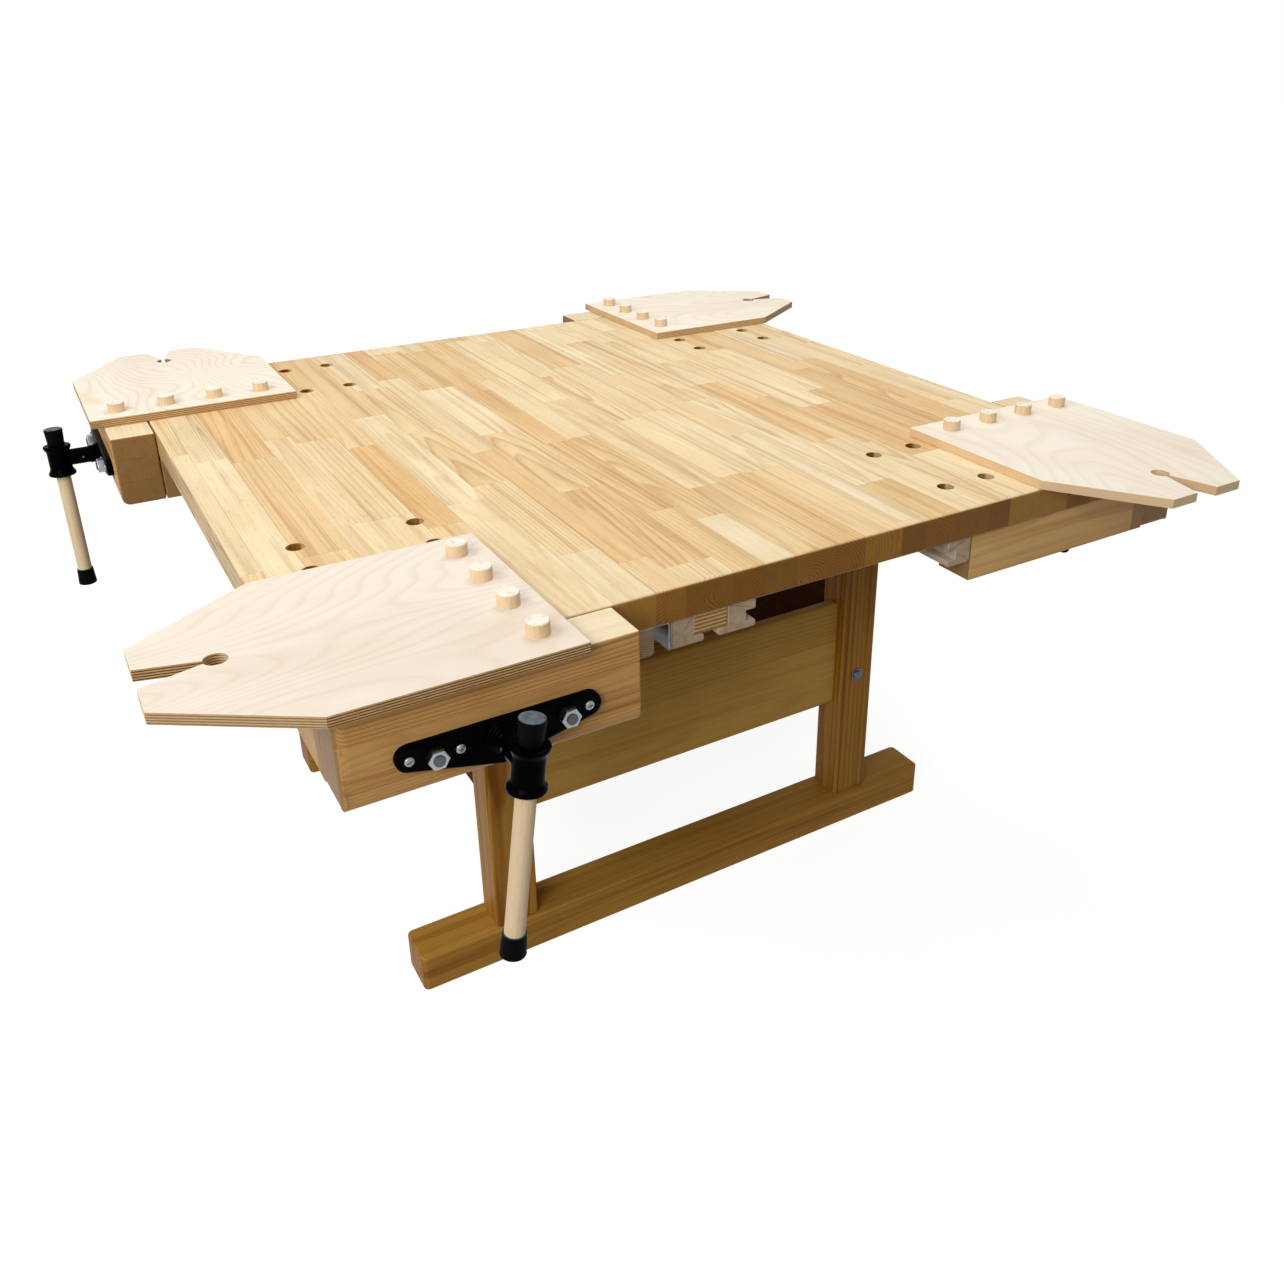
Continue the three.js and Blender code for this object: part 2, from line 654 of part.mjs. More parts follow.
// A storage rail's section: a body with lips to the left or right at its foot and its head
function railSection(body, { footLeft = 0, footRight = 0, headLeft = 0, headRight = 0 }) {
  const corner = new Array(4).fill(LIP_ROUNDING);
  const foot = roundedRectangle(footLeft + body + footRight, RAIL_LIP_THICK, corner);
  const footBar = extrude(foot, RAIL_LENGTH)
    .translate((body + footRight - footLeft) / 2, RAIL_LIP_THICK / 2 - RAIL_DROP, 0)
    .applyMatrix4(AGAINST_Y);
  const web = box([0, -RAIL_LENGTH, RAIL_LIP_THICK / 2 - RAIL_DROP], [body, 0, 0]);
  const head = box([-headLeft, -RAIL_LENGTH, -RAIL_TOP_LIP_THICK], [body + headRight, 0, 0]);
  return join(solid(footBar), web, head);
}

// The rails under the top between the front and right housings, from left to right
function makeStorageRails() {
  const rails = new THREE.Group();
  rails.position.set(0, RAIL_LENGTH + RAIL_SETBACK - half, underside - SEAM);
  bench.add(rails);
  const place = (name, shape, x, finish) => {
    piece(rails, name, shape, finish).position.x = x;
  };

  let x = VISE_SETBACK + jawHalf + RAIL_START - half;
  const angle = new THREE.Shape();
  angle.moveTo(0, -ANGLE_THICK);
  angle.lineTo(ANGLE_FLANGE - ANGLE_THICK, -ANGLE_THICK);
  angle.lineTo(ANGLE_FLANGE - ANGLE_THICK, -ANGLE_WEB);
  angle.lineTo(ANGLE_FLANGE, -ANGLE_WEB);
  angle.lineTo(ANGLE_FLANGE, 0);
  angle.lineTo(0, 0);
  place("rail_angle", extrude(angle, RAIL_LENGTH).applyMatrix4(AGAINST_Y), x, "steel");

  const blockCorner = [2 * LIP_ROUNDING, LIP_ROUNDING / 3, LIP_ROUNDING / 3, LIP_ROUNDING / 3];
  const blockTop = -ANGLE_THICK - SEAM;
  const block = extrude(roundedRectangle(BLOCK_WIDTH, BLOCK_DROP, blockCorner), RAIL_LENGTH)
    .translate(BLOCK_WIDTH / 2, blockTop - BLOCK_DROP / 2, 0).applyMatrix4(AGAINST_Y);
  place("rail_block", block, x, "birch");

  x += ANGLE_FLANGE + RAIL_GAP;
  const bar = box(
    [SLIDE_RAIL_BODY - SLIDE_BAR_SINK, -RAIL_LENGTH, -SLIDE_BAR_DROP - SLIDE_BAR_HEIGHT],
    [SLIDE_RAIL_BODY + SLIDE_BAR_WIDTH, 0, -SLIDE_BAR_DROP],
  );
  place("slide_rail", join(railSection(SLIDE_RAIL_BODY, { footRight: RAIL_LIP }), bar), x, "birch");

  x += SLIDE_RAIL_BODY + SLIDE_BAR_WIDTH + SLIDE_BAR_GAP;
  const middle = railSection(STORE_RAIL_BODY, {
    footLeft: RAIL_LIP,
    footRight: RAIL_LIP,
    headRight: RAIL_LIP,
  });
  place("middle_storage_rail", middle, x, "birch");

  x = half - housingDepth - RAIL_END - STORE_RAIL_BODY;
  const right = railSection(STORE_RAIL_BODY, { footLeft: RAIL_LIP, headLeft: RAIL_LIP });
  place("right_storage_rail", right, x, "birch");
}

makeTop();
makeTrestle("front", -1);
makeTrestle("rear", 1);
makeSideRails();
makeStorageRails();
STATIONS.forEach(makeStation);

export default bench;
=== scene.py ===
"""The look of a square woodworking bench with four vises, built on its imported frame. Metres, +Z up."""
import json
import math

import bmesh
import bpy
from mathutils import Matrix, Vector


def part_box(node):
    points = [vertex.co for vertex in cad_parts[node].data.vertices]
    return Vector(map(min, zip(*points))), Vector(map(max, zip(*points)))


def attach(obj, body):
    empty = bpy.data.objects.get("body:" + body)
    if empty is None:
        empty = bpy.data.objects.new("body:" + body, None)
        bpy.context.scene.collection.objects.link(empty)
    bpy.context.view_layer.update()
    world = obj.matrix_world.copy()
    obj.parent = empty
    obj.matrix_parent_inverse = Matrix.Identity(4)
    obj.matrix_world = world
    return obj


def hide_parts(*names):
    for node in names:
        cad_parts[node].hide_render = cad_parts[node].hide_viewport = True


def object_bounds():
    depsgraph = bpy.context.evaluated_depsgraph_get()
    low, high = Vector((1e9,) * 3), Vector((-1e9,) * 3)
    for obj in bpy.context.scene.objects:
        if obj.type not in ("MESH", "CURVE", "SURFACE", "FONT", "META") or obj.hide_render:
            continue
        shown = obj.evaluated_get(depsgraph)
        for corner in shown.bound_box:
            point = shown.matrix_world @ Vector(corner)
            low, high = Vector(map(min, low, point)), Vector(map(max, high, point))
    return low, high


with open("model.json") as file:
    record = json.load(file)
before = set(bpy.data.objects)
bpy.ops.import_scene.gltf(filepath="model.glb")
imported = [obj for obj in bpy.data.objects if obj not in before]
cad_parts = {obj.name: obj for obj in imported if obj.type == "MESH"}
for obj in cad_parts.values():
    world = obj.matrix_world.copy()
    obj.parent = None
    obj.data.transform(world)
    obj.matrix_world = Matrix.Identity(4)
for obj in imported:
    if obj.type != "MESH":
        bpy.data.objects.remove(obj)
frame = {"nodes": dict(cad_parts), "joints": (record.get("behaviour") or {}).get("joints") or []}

cad_low, cad_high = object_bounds()
scene = bpy.context.scene
STATIONS = ("front", "left", "rear", "right")

# Sizes that the frame's boxes don't give: how far edges are rounded
TINY_EASE = 0.0003
FINE_EASE = 0.0005
SMALL_EASE = 0.0008
EASE = 0.001
SOFT_EASE = 0.0015
ROUND_EASE = 0.003

# The top and its dog holes
TOP_CORNER = 0.009
TOP_EDGE = 0.005
TOP_UNDER_EDGE = 0.004
DOG_DIAMETER = 0.024
DOG_EASE = 0.0012
DOG_PITCH = 0.08
DOG_ROWS = 5
DOG_FIRST_ROW = 0.038
DOG_COLUMNS = (-0.098, 0.062)

# Trestle bolts, whose profiles are (radius, height), and storage rails
BOLT_HEIGHT = 0.304
BOLT_SHIFT = 0.009  # of the left uprights' bolts from their middle
WASHER = ((0.0125, 0.0), (0.0125, 0.0016), (0.012, 0.002))
BOLT_DOME = ((0.0088, 0.002), (0.0088, 0.0034), (0.0078, 0.0048), (0.005, 0.006), (0.0, 0.0065))
SLIDE_BODY = 0.032
RAIL_BODY = 0.027
LIP = 0.0145
LIP_THICK = 0.0095
HEAD_LIP_THICK = 0.0155
BAR_DROP = 0.0025
BAR_HIGH = 0.026
BAR_EASE = 0.0012
BAR_LAYER = 0.0052
BLOCK_ROUND = 0.006
ANGLE_THICK = 0.003
ANGLE_BEND = 0.002
ANGLE_OUTER_BEND = 0.004

# Vise: housing, jaw, plate and its screws
BAY_MARGIN = 0.036
FIXED_JAW_THICK = 0.025
JAW_DOG_DEPTH = 0.05
JAW_NOSE = 0.013
JAW_CORNER = 0.007
JAW_STAVE = 0.039
JAW_HEART = 0.019
PLATE_THICK = 0.01
PLATE_RISE = 0.0185
PLATE_FALL = 0.036
PLATE_END_RADIUS = 0.015
PLATE_TIP_RADIUS = 0.022
BOSS_RADII = (0.02, 0.018, 0.016)
BOSS_ROOT = 0.002
BOSS_GROOVE = 0.0012
PLATE_SCREWS = ((-0.1033, 0.0035), (-0.0484, 0.0), (0.044, 0.0), (0.101, 0.004))
HEAD_RADIUS = 0.0056
HEAD_HEIGHT = 0.0032
HEAD_SEAT = 0.001
FIRST_HEAD_ANGLE = 0.4

# Vise: guide rods, lead screw and nut bracket
ROD_SPACING = 0.15
ROD_DIAMETER = 0.016
ROD_GAP = 0.0003
TIE_THICK = 0.012
STUD_DIAMETER = 0.014
STUD_THREAD = (0.0007, 0.002)  # depth and pitch
STUD_ROOT = 0.004
STUD_SETBACK = 0.0015
NUT_ACROSS = 0.0245
NUT_THICK = 0.011
NUT_EASE = 0.0016
SCREW_RADIUS = 0.011
SCREW_THREAD = (0.0018, 0.005)
SMOOTH_LENGTH = 0.1
JOURNAL_RADIUS = 0.0079
COLLAR_RADIUS = 0.0169
COLLAR_FRONT = 0.0006
COLLAR_BACK = 0.006
FLANGE_THICK = 0.008
FLANGE_CORNER = 0.008
RIB_INSET = 0.014
RIB_HALF = 0.004
RIB_DEPTH = 0.024
NUT_BOSS = (0.019, 0.0112)  # radius and bore
ROD_BOSS = (0.014, 0.0082)
BOSS_FOOT = ((0.0, 0.011), (0.0008, 0.009), (0.002, 0.0078), (0.002, 0.0))  # out and back

# Handle: each list goes inwards or outwards from a radius and back from an end
HUB_BORE = 0.0118
HUB_EASE = 0.0004
HUB_FLARE = (
    (0.0022, 0.0), (0.0007, 0.0008), (0.0, 0.0024), (0.0002, 0.0045), (0.0014, 0.007), (0.0032, 0.01),
    (0.004, 0.014),
)
NECK_RADIUS = 0.014
NECK_ROOT = 0.004
NECK_BEAD = ((0.0, 0.0065), (0.0012, 0.005), (0.0012, 0.001), (0.0002, 0.0))
PIN_RADIUS = 0.002
PIN_HALF = 0.0152
PIN_SETBACK = 0.016
CAP_TAPER = 0.00175
CAP_WALL = 0.006
CAP_GAP = 0.0001
CAP_SINK = 0.0002
CAP_ROUND = ((0.0002, 0.004), (0.0, 0.0022), (0.0006, 0.0008), (0.002, 0.0))

# Fretsaw boards and their pegs
BOARD_THICK = 0.014
BOARD_GAP = 0.00025
BOARD_SHOULDER = 0.281
BOARD_NOSE = 0.143
BOARD_EASE = 0.0007
BOARD_LAYERS = 4.5
NOTCH_MOUTH = 0.042
NOTCH_NECK = 0.006
NOTCH_HOLE = 0.026
NOTCH_SETBACK = 0.079
PEG_RADIUS = 0.0135
PEG_EASE = 0.0009
PEG_SHANK_RADIUS = 0.0117
PEG_DEPTH = 0.04
PEG_ROWS = 4

AGAINST_Y = Matrix(((1, 0, 0, 0), (0, 0, -1, 0), (0, 1, 0, 0), (0, 0, 0, 1)))
ALONG_X = Matrix(((0, 0, 1, 0), (1, 0, 0, 0), (0, 1, 0, 0), (0, 0, 0, 1)))

top_low, top_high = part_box("bench_top")
screw_low, screw_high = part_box("front_vise_screw")
axis_z = (screw_low.z + screw_high.z) / 2
origin = Vector(((screw_low.x + screw_high.x) / 2, top_low.y, 0))
side_turns = [Matrix.Rotation(-math.pi / 2 * turn, 4, "Z") for turn in range(len(STATIONS))]
station_places = [turn @ Matrix.Translation(origin) for turn in side_turns]


def station_box(node):
    """A node's box at the front station, from the screw axis at the worker's edge."""
    low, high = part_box(f"front_{node}")
    return low - origin, high - origin


# Outlines

def arc(x, y, radius, start, end, steps=10):
    """Points on a circular arc between two angles in degrees."""
    points = []
    for step in range(steps + 1):
        angle = math.radians(start + (end - start) * step / steps)
        points.append(Vector((x + radius * math.cos(angle), y + radius * math.sin(angle))))
    return points


def circle(x, y, radius, steps=32):
    """A closed ring of points."""
    return arc(x, y, radius, 0, 360, steps)[:-1]


def rounded(corners, steps=5):
    """A closed outline from (x, y, radius) corners."""
    outline = []
    for index, (x, y, radius) in enumerate(corners):
        here = Vector((x, y))
        if not radius:
            outline.append(here)
            continue
        back = (Vector(corners[index - 1][:2]) - here).normalized()
        ahead = (Vector(corners[(index + 1) % len(corners)][:2]) - here).normalized()
        half = back.angle(ahead) / 2
        centre = here + (back + ahead).normalized() * radius / math.sin(half)
        first = here + back * radius / math.tan(half) - centre
        last = here + ahead * radius / math.tan(half) - centre
        start = math.degrees(math.atan2(first.y, first.x))
        sweep = (math.degrees(math.atan2(last.y, last.x)) - start + 180) % 360 - 180
        outline += arc(centre.x, centre.y, radius, start, start + sweep, steps)
    return outline


def rectangle(x0, y0, x1, y1, radius=0.0, steps=5):
    """A rectangle with equal corner radii."""
    return rounded([(x0, y0, radius), (x1, y0, radius), (x1, y1, radius), (x0, y1, radius)], steps)


def inset(outline, distance):
    """A counter-clockwise outline moved inwards, with mitred corners."""
    moved_in = []
    for index, here in enumerate(outline):
        before = (here - outline[index - 1]).normalized()
        after = (outline[(index + 1) % len(outline)] - here).normalized()
        first, second = Vector((-before.y, before.x)), Vector((-after.y, after.x))
        moved_in.append(here + (first + second) * distance / (1 + first.dot(second)))
    return moved_in


def rod(radius, low, high, ease):
    """The profile of a round bar with eased ends."""
    return [(radius - ease, low), (radius, low + ease), (radius, high - ease), (radius - ease, high)]


# Solids

def joined(mesh, rings):
    """Faces between neighbouring rings of one size."""
    for lower, upper in zip(rings, rings[1:]):
        for i in range(len(lower)):
            mesh.faces.new((lower[i - 1], lower[i], upper[i], upper[i - 1]))


def edge_levels(low, high, round_low, round_high, steps):
    """(inset, height) pairs up a wall whose lower and upper edges are rounded."""
    turn = [math.radians(90 * step / steps) for step in range(steps + 1)]
    levels = [(round_low * (1 - math.sin(a)), low + round_low * (1 - math.cos(a))) for a in turn]
    upper = [(round_high * (1 - math.sin(a)), high - round_high * (1 - math.cos(a))) for a in turn]
    levels = levels if round_low else [(0, low)]
    return levels + (upper[::-1] if round_high else [(0, high)])


def prism(outline, low, high, round_low=0.0, round_high=0.0, holes=(), ease=0.0, steps=3):
    """A slab between two heights, with rounded outer edges and eased holes."""
    mesh = bmesh.new()

    def wall(points, levels, sign):
        rings = []
        for distance, height in levels:
            ring = inset(points, sign * distance)
            rings.append([mesh.verts.new((p.x, p.y, height)) for p in ring])
        joined(mesh, rings)
        return rings[0], rings[-1]

    ends = [wall(outline, edge_levels(low, high, round_low, round_high, steps), 1)]
    for hole in holes:
        ends.append(wall(hole, edge_levels(low, high, ease, ease, 2), -1))
    for end in (0, 1):
        if holes:
            edges = []
            for pair in ends:
                loop = pair[end]
                edges += [mesh.edges.get((loop[i - 1], loop[i])) for i in range(len(loop))]
            bmesh.ops.triangle_fill(mesh, use_beauty=True, edges=edges)
        else:
            mesh.faces.new(ends[0][end])
    bmesh.ops.recalc_face_normals(mesh, faces=mesh.faces)
    return mesh


def along_y(outline, y0, y1, round_front=0.0, round_back=0.0, **more):
    """A prism of an (x, z) outline between two depths."""
    return moved(prism(outline, -y1, -y0, round_back, round_front, **more), AGAINST_Y)


def turned(profile, sides=32, closed=False):
    """A solid turned about Z from (radius, height) points, closed onto the axis or onto each other."""
    mesh = bmesh.new()
    profile = list(profile)
    if not closed and profile[0][0]:
        profile.insert(0, (0, profile[0][1]))
    if not closed and profile[-1][0]:
        profile.append((0, profile[-1][1]))
    rings = []
    for radius, height in profile:
        points = circle(0, 0, radius, sides) if radius else [Vector((0, 0))]
        rings.append([mesh.verts.new((p.x, p.y, height)) for p in points])
    pairs = list(zip(rings, rings[1:]))
    if closed:
        pairs.append((rings[-1], rings[0]))
    for lower, upper in pairs:
        for i in range(sides):
            around = ((lower, i - 1), (lower, i), (upper, i), (upper, i - 1))
            corners = list(dict.fromkeys(ring[k % len(ring)] for ring, k in around))
            if len(corners) > 2:
                mesh.faces.new(corners)
    bmesh.ops.recalc_face_normals(mesh, faces=mesh.faces)
    return mesh


def turned_y(profile, sides=32, closed=False, x=0.0, z=0.0):
    """A solid turned about a line along Y, from (radius, y) points."""
    mesh = turned([(radius, -y) for radius, y in profile], sides, closed)
    return moved(mesh, Matrix.Translation((x, 0, z)) @ AGAINST_Y)


def softened(mesh, radius, low, *pairs):
    """A block with some edges rounded: those where two of its low sides meet, given as pairs of axes."""
    edges = []
    for edge in mesh.edges:
        ends = [vertex.co for vertex in edge.verts]
        if any(all(abs(end[k] - low[k]) < 1e-6 for end in ends for k in pair) for pair in pairs):
            edges.append(edge)
    bmesh.ops.bevel(mesh, geom=edges, offset=radius, segments=5, profile=0.5, affect="EDGES")
    return mesh


def threaded(radius, depth, pitch, low, high, rows, sides=24):
    """A round bar about Z with a helical thread of so many rows of points to a turn."""
    mesh = bmesh.new()
    count = round((high - low) / pitch * rows)
    rings = []
    for row in range(count + 1):
        height = low + (high - low) * row / count
        fade = min(1, (height - low) / pitch, (high - height) / pitch)
        ring = []
        for side in range(sides):
            angle = 2 * math.pi * side / sides
            phase = (height / pitch - side / sides) % 1
            groove = min(1, max(0, 4 * abs(phase - 0.5) - 0.5)) * fade + (1 - fade)
            r = radius - depth * groove
            ring.append(mesh.verts.new((r * math.cos(angle), r * math.sin(angle), height)))
        rings.append(ring)
    joined(mesh, rings)
    mesh.faces.new(rings[0])
    mesh.faces.new(rings[-1])
    bmesh.ops.recalc_face_normals(mesh, faces=mesh.faces)
    return mesh


def moved(mesh, matrix):
    """The same solid, moved."""
    mesh.transform(matrix)
    return mesh


def stored(name, mesh):
    """A solid as the scene keeps it."""
    data = bpy.data.meshes.new(name)
    mesh.to_mesh(data)
    mesh.free()
    return data


def placed(name, data):
    """An object in the scene."""
    made = bpy.data.objects.new(name, data)
    scene.collection.objects.link(made)
    return made


def gathered(*meshes):
    """Several solids as one mesh."""
    whole = bmesh.new()
    for mesh in meshes:
        data = stored("part", mesh)
        whole.from_mesh(data)
        bpy.data.meshes.remove(data)
    return whole


def drilled(solid, *tools):
    """A solid cut by others."""
    objects = [placed("blank", stored("blank", mesh)) for mesh in (solid, *tools)]
    for tool in objects[1:]:
        step = objects[0].modifiers.new("step", "BOOLEAN")
        step.operation = "DIFFERENCE"
        step.solver = "EXACT"
        step.object = tool
    made = objects[0].evaluated_get(bpy.context.evaluated_depsgraph_get()).to_mesh()
    result = bmesh.new()
    result.from_mesh(made)
    for blank in objects:
        bpy.data.meshes.remove(blank.data)
    return result


def piece(name, mesh, finish, body, nodes=(), place=Matrix.Identity(4), crease=38):
    """A finished piece that rides on a body and may stand for CAD nodes."""
    data = stored(name, mesh)
    data.polygons.foreach_set("use_smooth", [True] * len(data.polygons))
    data.set_sharp_from_angle(angle=math.radians(crease))
    data.materials.append(finish)
    made = placed(name, data)
    made.matrix_world = place
    soft = made.modifiers.new("even_shading", "WEIGHTED_NORMAL")
    soft.keep_sharp = True
    soft.weight = 100
    bpy.context.view_layer.update()
    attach(made, body)
    if nodes:
        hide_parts(*nodes)


# Finishes

def shade(red, green, blue):
    """A colour as it shows on screen, 0 to 255, in linear light."""
    levels = [value / 255 for value in (red, green, blue)]
    return tuple(v / 12.92 if v <= 0.04045 else ((v + 0.055) / 1.055) ** 2.4 for v in levels)


def spread(*colours):
    """Evenly spaced ramp stops for colours as they show on screen."""
    return [(index / (len(colours) - 1), shade(*colour)) for index, colour in enumerate(colours)]


class Nodes:
    """A node tree that starts empty."""

    def __init__(self, owner):
        owner.use_nodes = True
        self.tree = owner.node_tree
        self.tree.nodes.clear()

    def add(self, kind, **settings):
        node = self.tree.nodes.new(f"ShaderNode{kind}")
        for key, value in settings.items():
            setattr(node, key, value)
        return node

    def feed(self, socket, value):
        """Links an output to a socket, or sets a number or a colour of three parts on it."""
        if isinstance(value, bpy.types.NodeSocket):
            self.tree.links.new(value, socket)
        else:
            socket.default_value = (*value, 1.0) if isinstance(value, tuple) else value

    def fill(self, node, *values, **named):
        """Feeds a node's inputs, in order or by name, and gives its first output."""
        for socket, value in zip(node.inputs, values):
            self.feed(socket, value)
        for key, value in named.items():
            self.feed(node.inputs[key.replace("_", " ")], value)
        return node.outputs[0]

    def math(self, operation, *values):
        return self.fill(self.add("Math", operation=operation), *values)

    def span(self, value, low, high, out_low=0.0, out_high=1.0):
        """A value from one range in another, clamped."""
        return self.fill(self.add("MapRange"), value, low, high, out_low, out_high)

    def seen_directly(self):
        """1 for rays that show the background: camera, glossy and transmission rays."""
        path = self.add("LightPath")
        shows = self.math("MAXIMUM", path.outputs["Is Camera Ray"], path.outputs["Is Glossy Ray"])
        return self.math("MAXIMUM", shows, path.outputs["Is Transmission Ray"])


class Finish(Nodes):
    """A procedural material around one Principled shader."""

    def __init__(self, name):
        self.material = bpy.data.materials.new(name)
        super().__init__(self.material)
        self.shader = self.add("BsdfPrincipled")
        self.feed(self.add("OutputMaterial").inputs[0], self.shader.outputs[0])
        place = self.add("TexCoord")
        self.point = place.outputs["Object"]
        self.axes = self.split(self.point)
        self.facing = self.split(place.outputs["Normal"])
        self.sides = [self.math("ABSOLUTE", axis) for axis in self.facing]

    def times(self, value, *factors):
        """The product of several values."""
        for factor in factors:
            value = self.math("MULTIPLY", value, factor)
        return value

    def linear(self, value, factor, offset):
        return self.math("MULTIPLY_ADD", value, factor, offset)

    def split(self, vector):
        node = self.add("SeparateXYZ")
        self.fill(node, vector)
        return list(node.outputs)

    def vector(self, *values):
        return self.fill(self.add("CombineXYZ"), *values)

    def noise(self, vector, scale, detail=2.0, roughness=0.55):
        node = self.add("TexNoise")
        return self.fill(node, Vector=vector, Scale=scale, Detail=detail, Roughness=roughness)

    def drawn(self, x, y, z, shift, detail=2.0, roughness=0.55):
        """Noise with a scale for each axis, moved by a shift."""
        parts = [self.linear(axis, k, shift) for axis, k in zip(self.axes, (x, y, z))]
        return self.noise(self.vector(*parts), 1.0, detail, roughness)

    def dice(self, vector):
        """Random (value, three numbers) that stay the same over a cell."""
        node = self.add("TexWhiteNoise", noise_dimensions="3D")
        self.fill(node, Vector=vector)
        return node.outputs["Value"], self.split(node.outputs["Color"])

    def ramp(self, factor, *stops):
        """A colour ramp from (position, colour or grey level) stops."""
        node = self.add("ValToRGB")
        elements = node.color_ramp.elements
        while len(elements) < len(stops):
            elements.new(0.5)
        for element, (position, colour) in zip(elements, stops):
            element.position = position
            element.color = (*(colour if isinstance(colour, tuple) else (colour,) * 3), 1.0)
        return self.fill(node, factor)

    def mix(self, factor, first, second, blend="MIX"):
        node = self.add("Mix", data_type="RGBA", blend_type=blend)
        for index, value in ((0, factor), (6, first), (7, second)):
            self.feed(node.inputs[index], value)
        return node.outputs[2]

    def tint(self, colour, by, factor=1.0):
        """A colour times another, as far as a factor says."""
        return self.mix(factor, colour, by, "MULTIPLY")

    def bump(self, height, distance, strength):
        return self.fill(self.add("Bump"), Height=height, Distance=distance, Strength=strength)

    def done(self, **inputs):
        """The material, with its shader's inputs set."""
        self.fill(self.shader, **inputs)
        return self.material


GLUE_HALF = 0.0006


def wood(name, along, across, tones, seed, heart=(0.0, 0.0), stave=(1.0, None), uneven=0.0, ring=0.004,
         figure=(0.4, 0.4), veins=(0.4, 0.4), ends=(0.72, 0.6, 0.46), side=(1.0, 1.0, 1.0), joint=0.25,
         gloss=0.3, rings=1.0):
    """Solid wood: glued staves with growth rings round a pith, brown veins, pores and darker end grain.

    Heart is the pith's place, stave a stave's width and length, ring a growth ring's width. Figure and
    veins are strengths on faces that look up and on others, rings and joint those on end grain and glue
    lines. Ends tint the end grain darker, as end grain is, and where set far darker and greyer they are
    painted shade too. Side tints all faces that don't look up: painted shade, as if they got less light.
    """
    f = Finish(name)
    a, b, c = f.axes[along], f.axes[across], f.axes[3 - along - across]

    # The stave that a point lies in, and the stave's own random numbers
    wide, long = stave
    u = f.linear(f.math("SUBTRACT", b, heart[0]), 1 / wide, 0.5)
    for rate, share in ((47.0, 1.0), (83.0, 0.6)):
        wave = f.math("SINE", f.linear(b, rate, seed))
        u = f.linear(wave, uneven * share, u)
    row = f.math("FLOOR", u)
    luck, (start, _, _) = f.dice(f.vector(row, seed, 3.0))
    v = 0.5
    if long:
        pace = f.linear(luck, 0.8 / long, 0.7 / long)
        v = f.linear(a, pace, f.times(start, 9.7))
    tone, (first, second, third) = f.dice(f.vector(row, f.math("FLOOR", v), seed + 0.5))
    shift = f.times(first, 40.0)

    def stretched(ahead, beside, detail):
        """Noise drawn out along the grain."""
        scales = [beside, beside, beside]
        scales[along] = ahead
        return f.drawn(*scales, shift, detail, 0.6)

    # Growth rings round a pith that strays from stave to stave
    sway = f.math("SUBTRACT", stretched(1.6, 14.0, 2.0), 0.5)
    beside = f.math("SUBTRACT", f.math("FRACT", u), 0.5)
    beside = f.linear(beside, wide, f.linear(first, 0.14, -0.07))
    below = f.math("ADD", f.math("SUBTRACT", c, heart[1]), f.linear(second, 0.2, -0.1))
    below = f.linear(a, f.linear(third, 0.06, -0.03), below)
    radius = f.math("SQRT", f.math("ADD", f.times(beside, beside), f.times(below, below)))
    radius = f.linear(sway, 0.016, radius)
    width = f.linear(tone, ring, ring * 0.6)
    phase = f.math("FRACT", f.math("DIVIDE", radius, width))
    line = f.ramp(phase, (0.0, 0.05), (0.5, 0.2), (0.86, 1.0), (1.0, 0.0))

    # Strengths of what darkens the wood
    upward = f.span(f.facing[2], 0.5, 0.9)
    ended = f.span(f.sides[along], 0.6, 0.85)
    calm = f.span(ended, 0.0, 1.0, 1.0, rings)
    streak = stretched(2.5, 90.0, 3.0)
    pore = stretched(45.0, 520.0, 1.0)
    patch = f.drawn(5.0, 5.0, 5.0, shift)
    vein = f.span(stretched(1.5, 64.0, 2.0), 0.5, 0.68)
    vein = f.times(vein, f.span(upward, 0.0, 1.0, *veins[::-1]), calm)
    grain = f.times(line, f.math("ADD", third, 0.35), f.span(upward, 0.0, 1.0, *figure[::-1]), calm)

    colour = f.ramp(tone, *tones)
    for factor, darker in (
        (grain, (0.66, 0.5, 0.34)),
        (vein, (0.62, 0.45, 0.3)),
        (f.span(pore, 0.6, 0.75, 0.0, 0.3), (0.6, 0.46, 0.33)),
        (f.span(streak, 0.7, 0.25), (0.9, 0.85, 0.79)),
        (f.span(patch, 0.65, 0.3), (0.91, 0.87, 0.82)),
    ):
        colour = f.tint(colour, darker, factor)
    # End grain takes the end tint: its own darker tone, and painted shade where the tint is far darker.
    cut = f.tint(colour, f.ramp(second, *ends) if isinstance(ends[0], tuple) else ends)
    cut = f.tint(cut, (0.62, 0.54, 0.44), f.times(line, 0.5 * rings))
    # Faces that don't look up take the side tint: painted shade.
    flank = f.tint(f.mix(ended, colour, cut), side)
    colour = f.mix(upward, flank, colour)
    glue = 0.0
    for place, length in ((u, wide), (v, long)):
        if length:
            near = f.math("ABSOLUTE", f.math("SUBTRACT", f.math("FRACT", place), 0.5))
            glue = f.math("MAXIMUM", glue, f.span(near, 0.5 - GLUE_HALF / length, 0.5, 0.0, joint))
    colour = f.tint(colour, (0.4, 0.28, 0.18), glue)

    relief = f.times(f.math("SUBTRACT", streak, pore), 0.5)
    return f.done(
        Base_Color=colour,
        Roughness=f.span(streak, 0.3, 0.7, 0.42, 0.58),
        Specular_IOR_Level=gloss,
        Normal=f.bump(relief, 0.0004, 0.35),
    )


LAYER_PALE = shade(226, 192, 142)


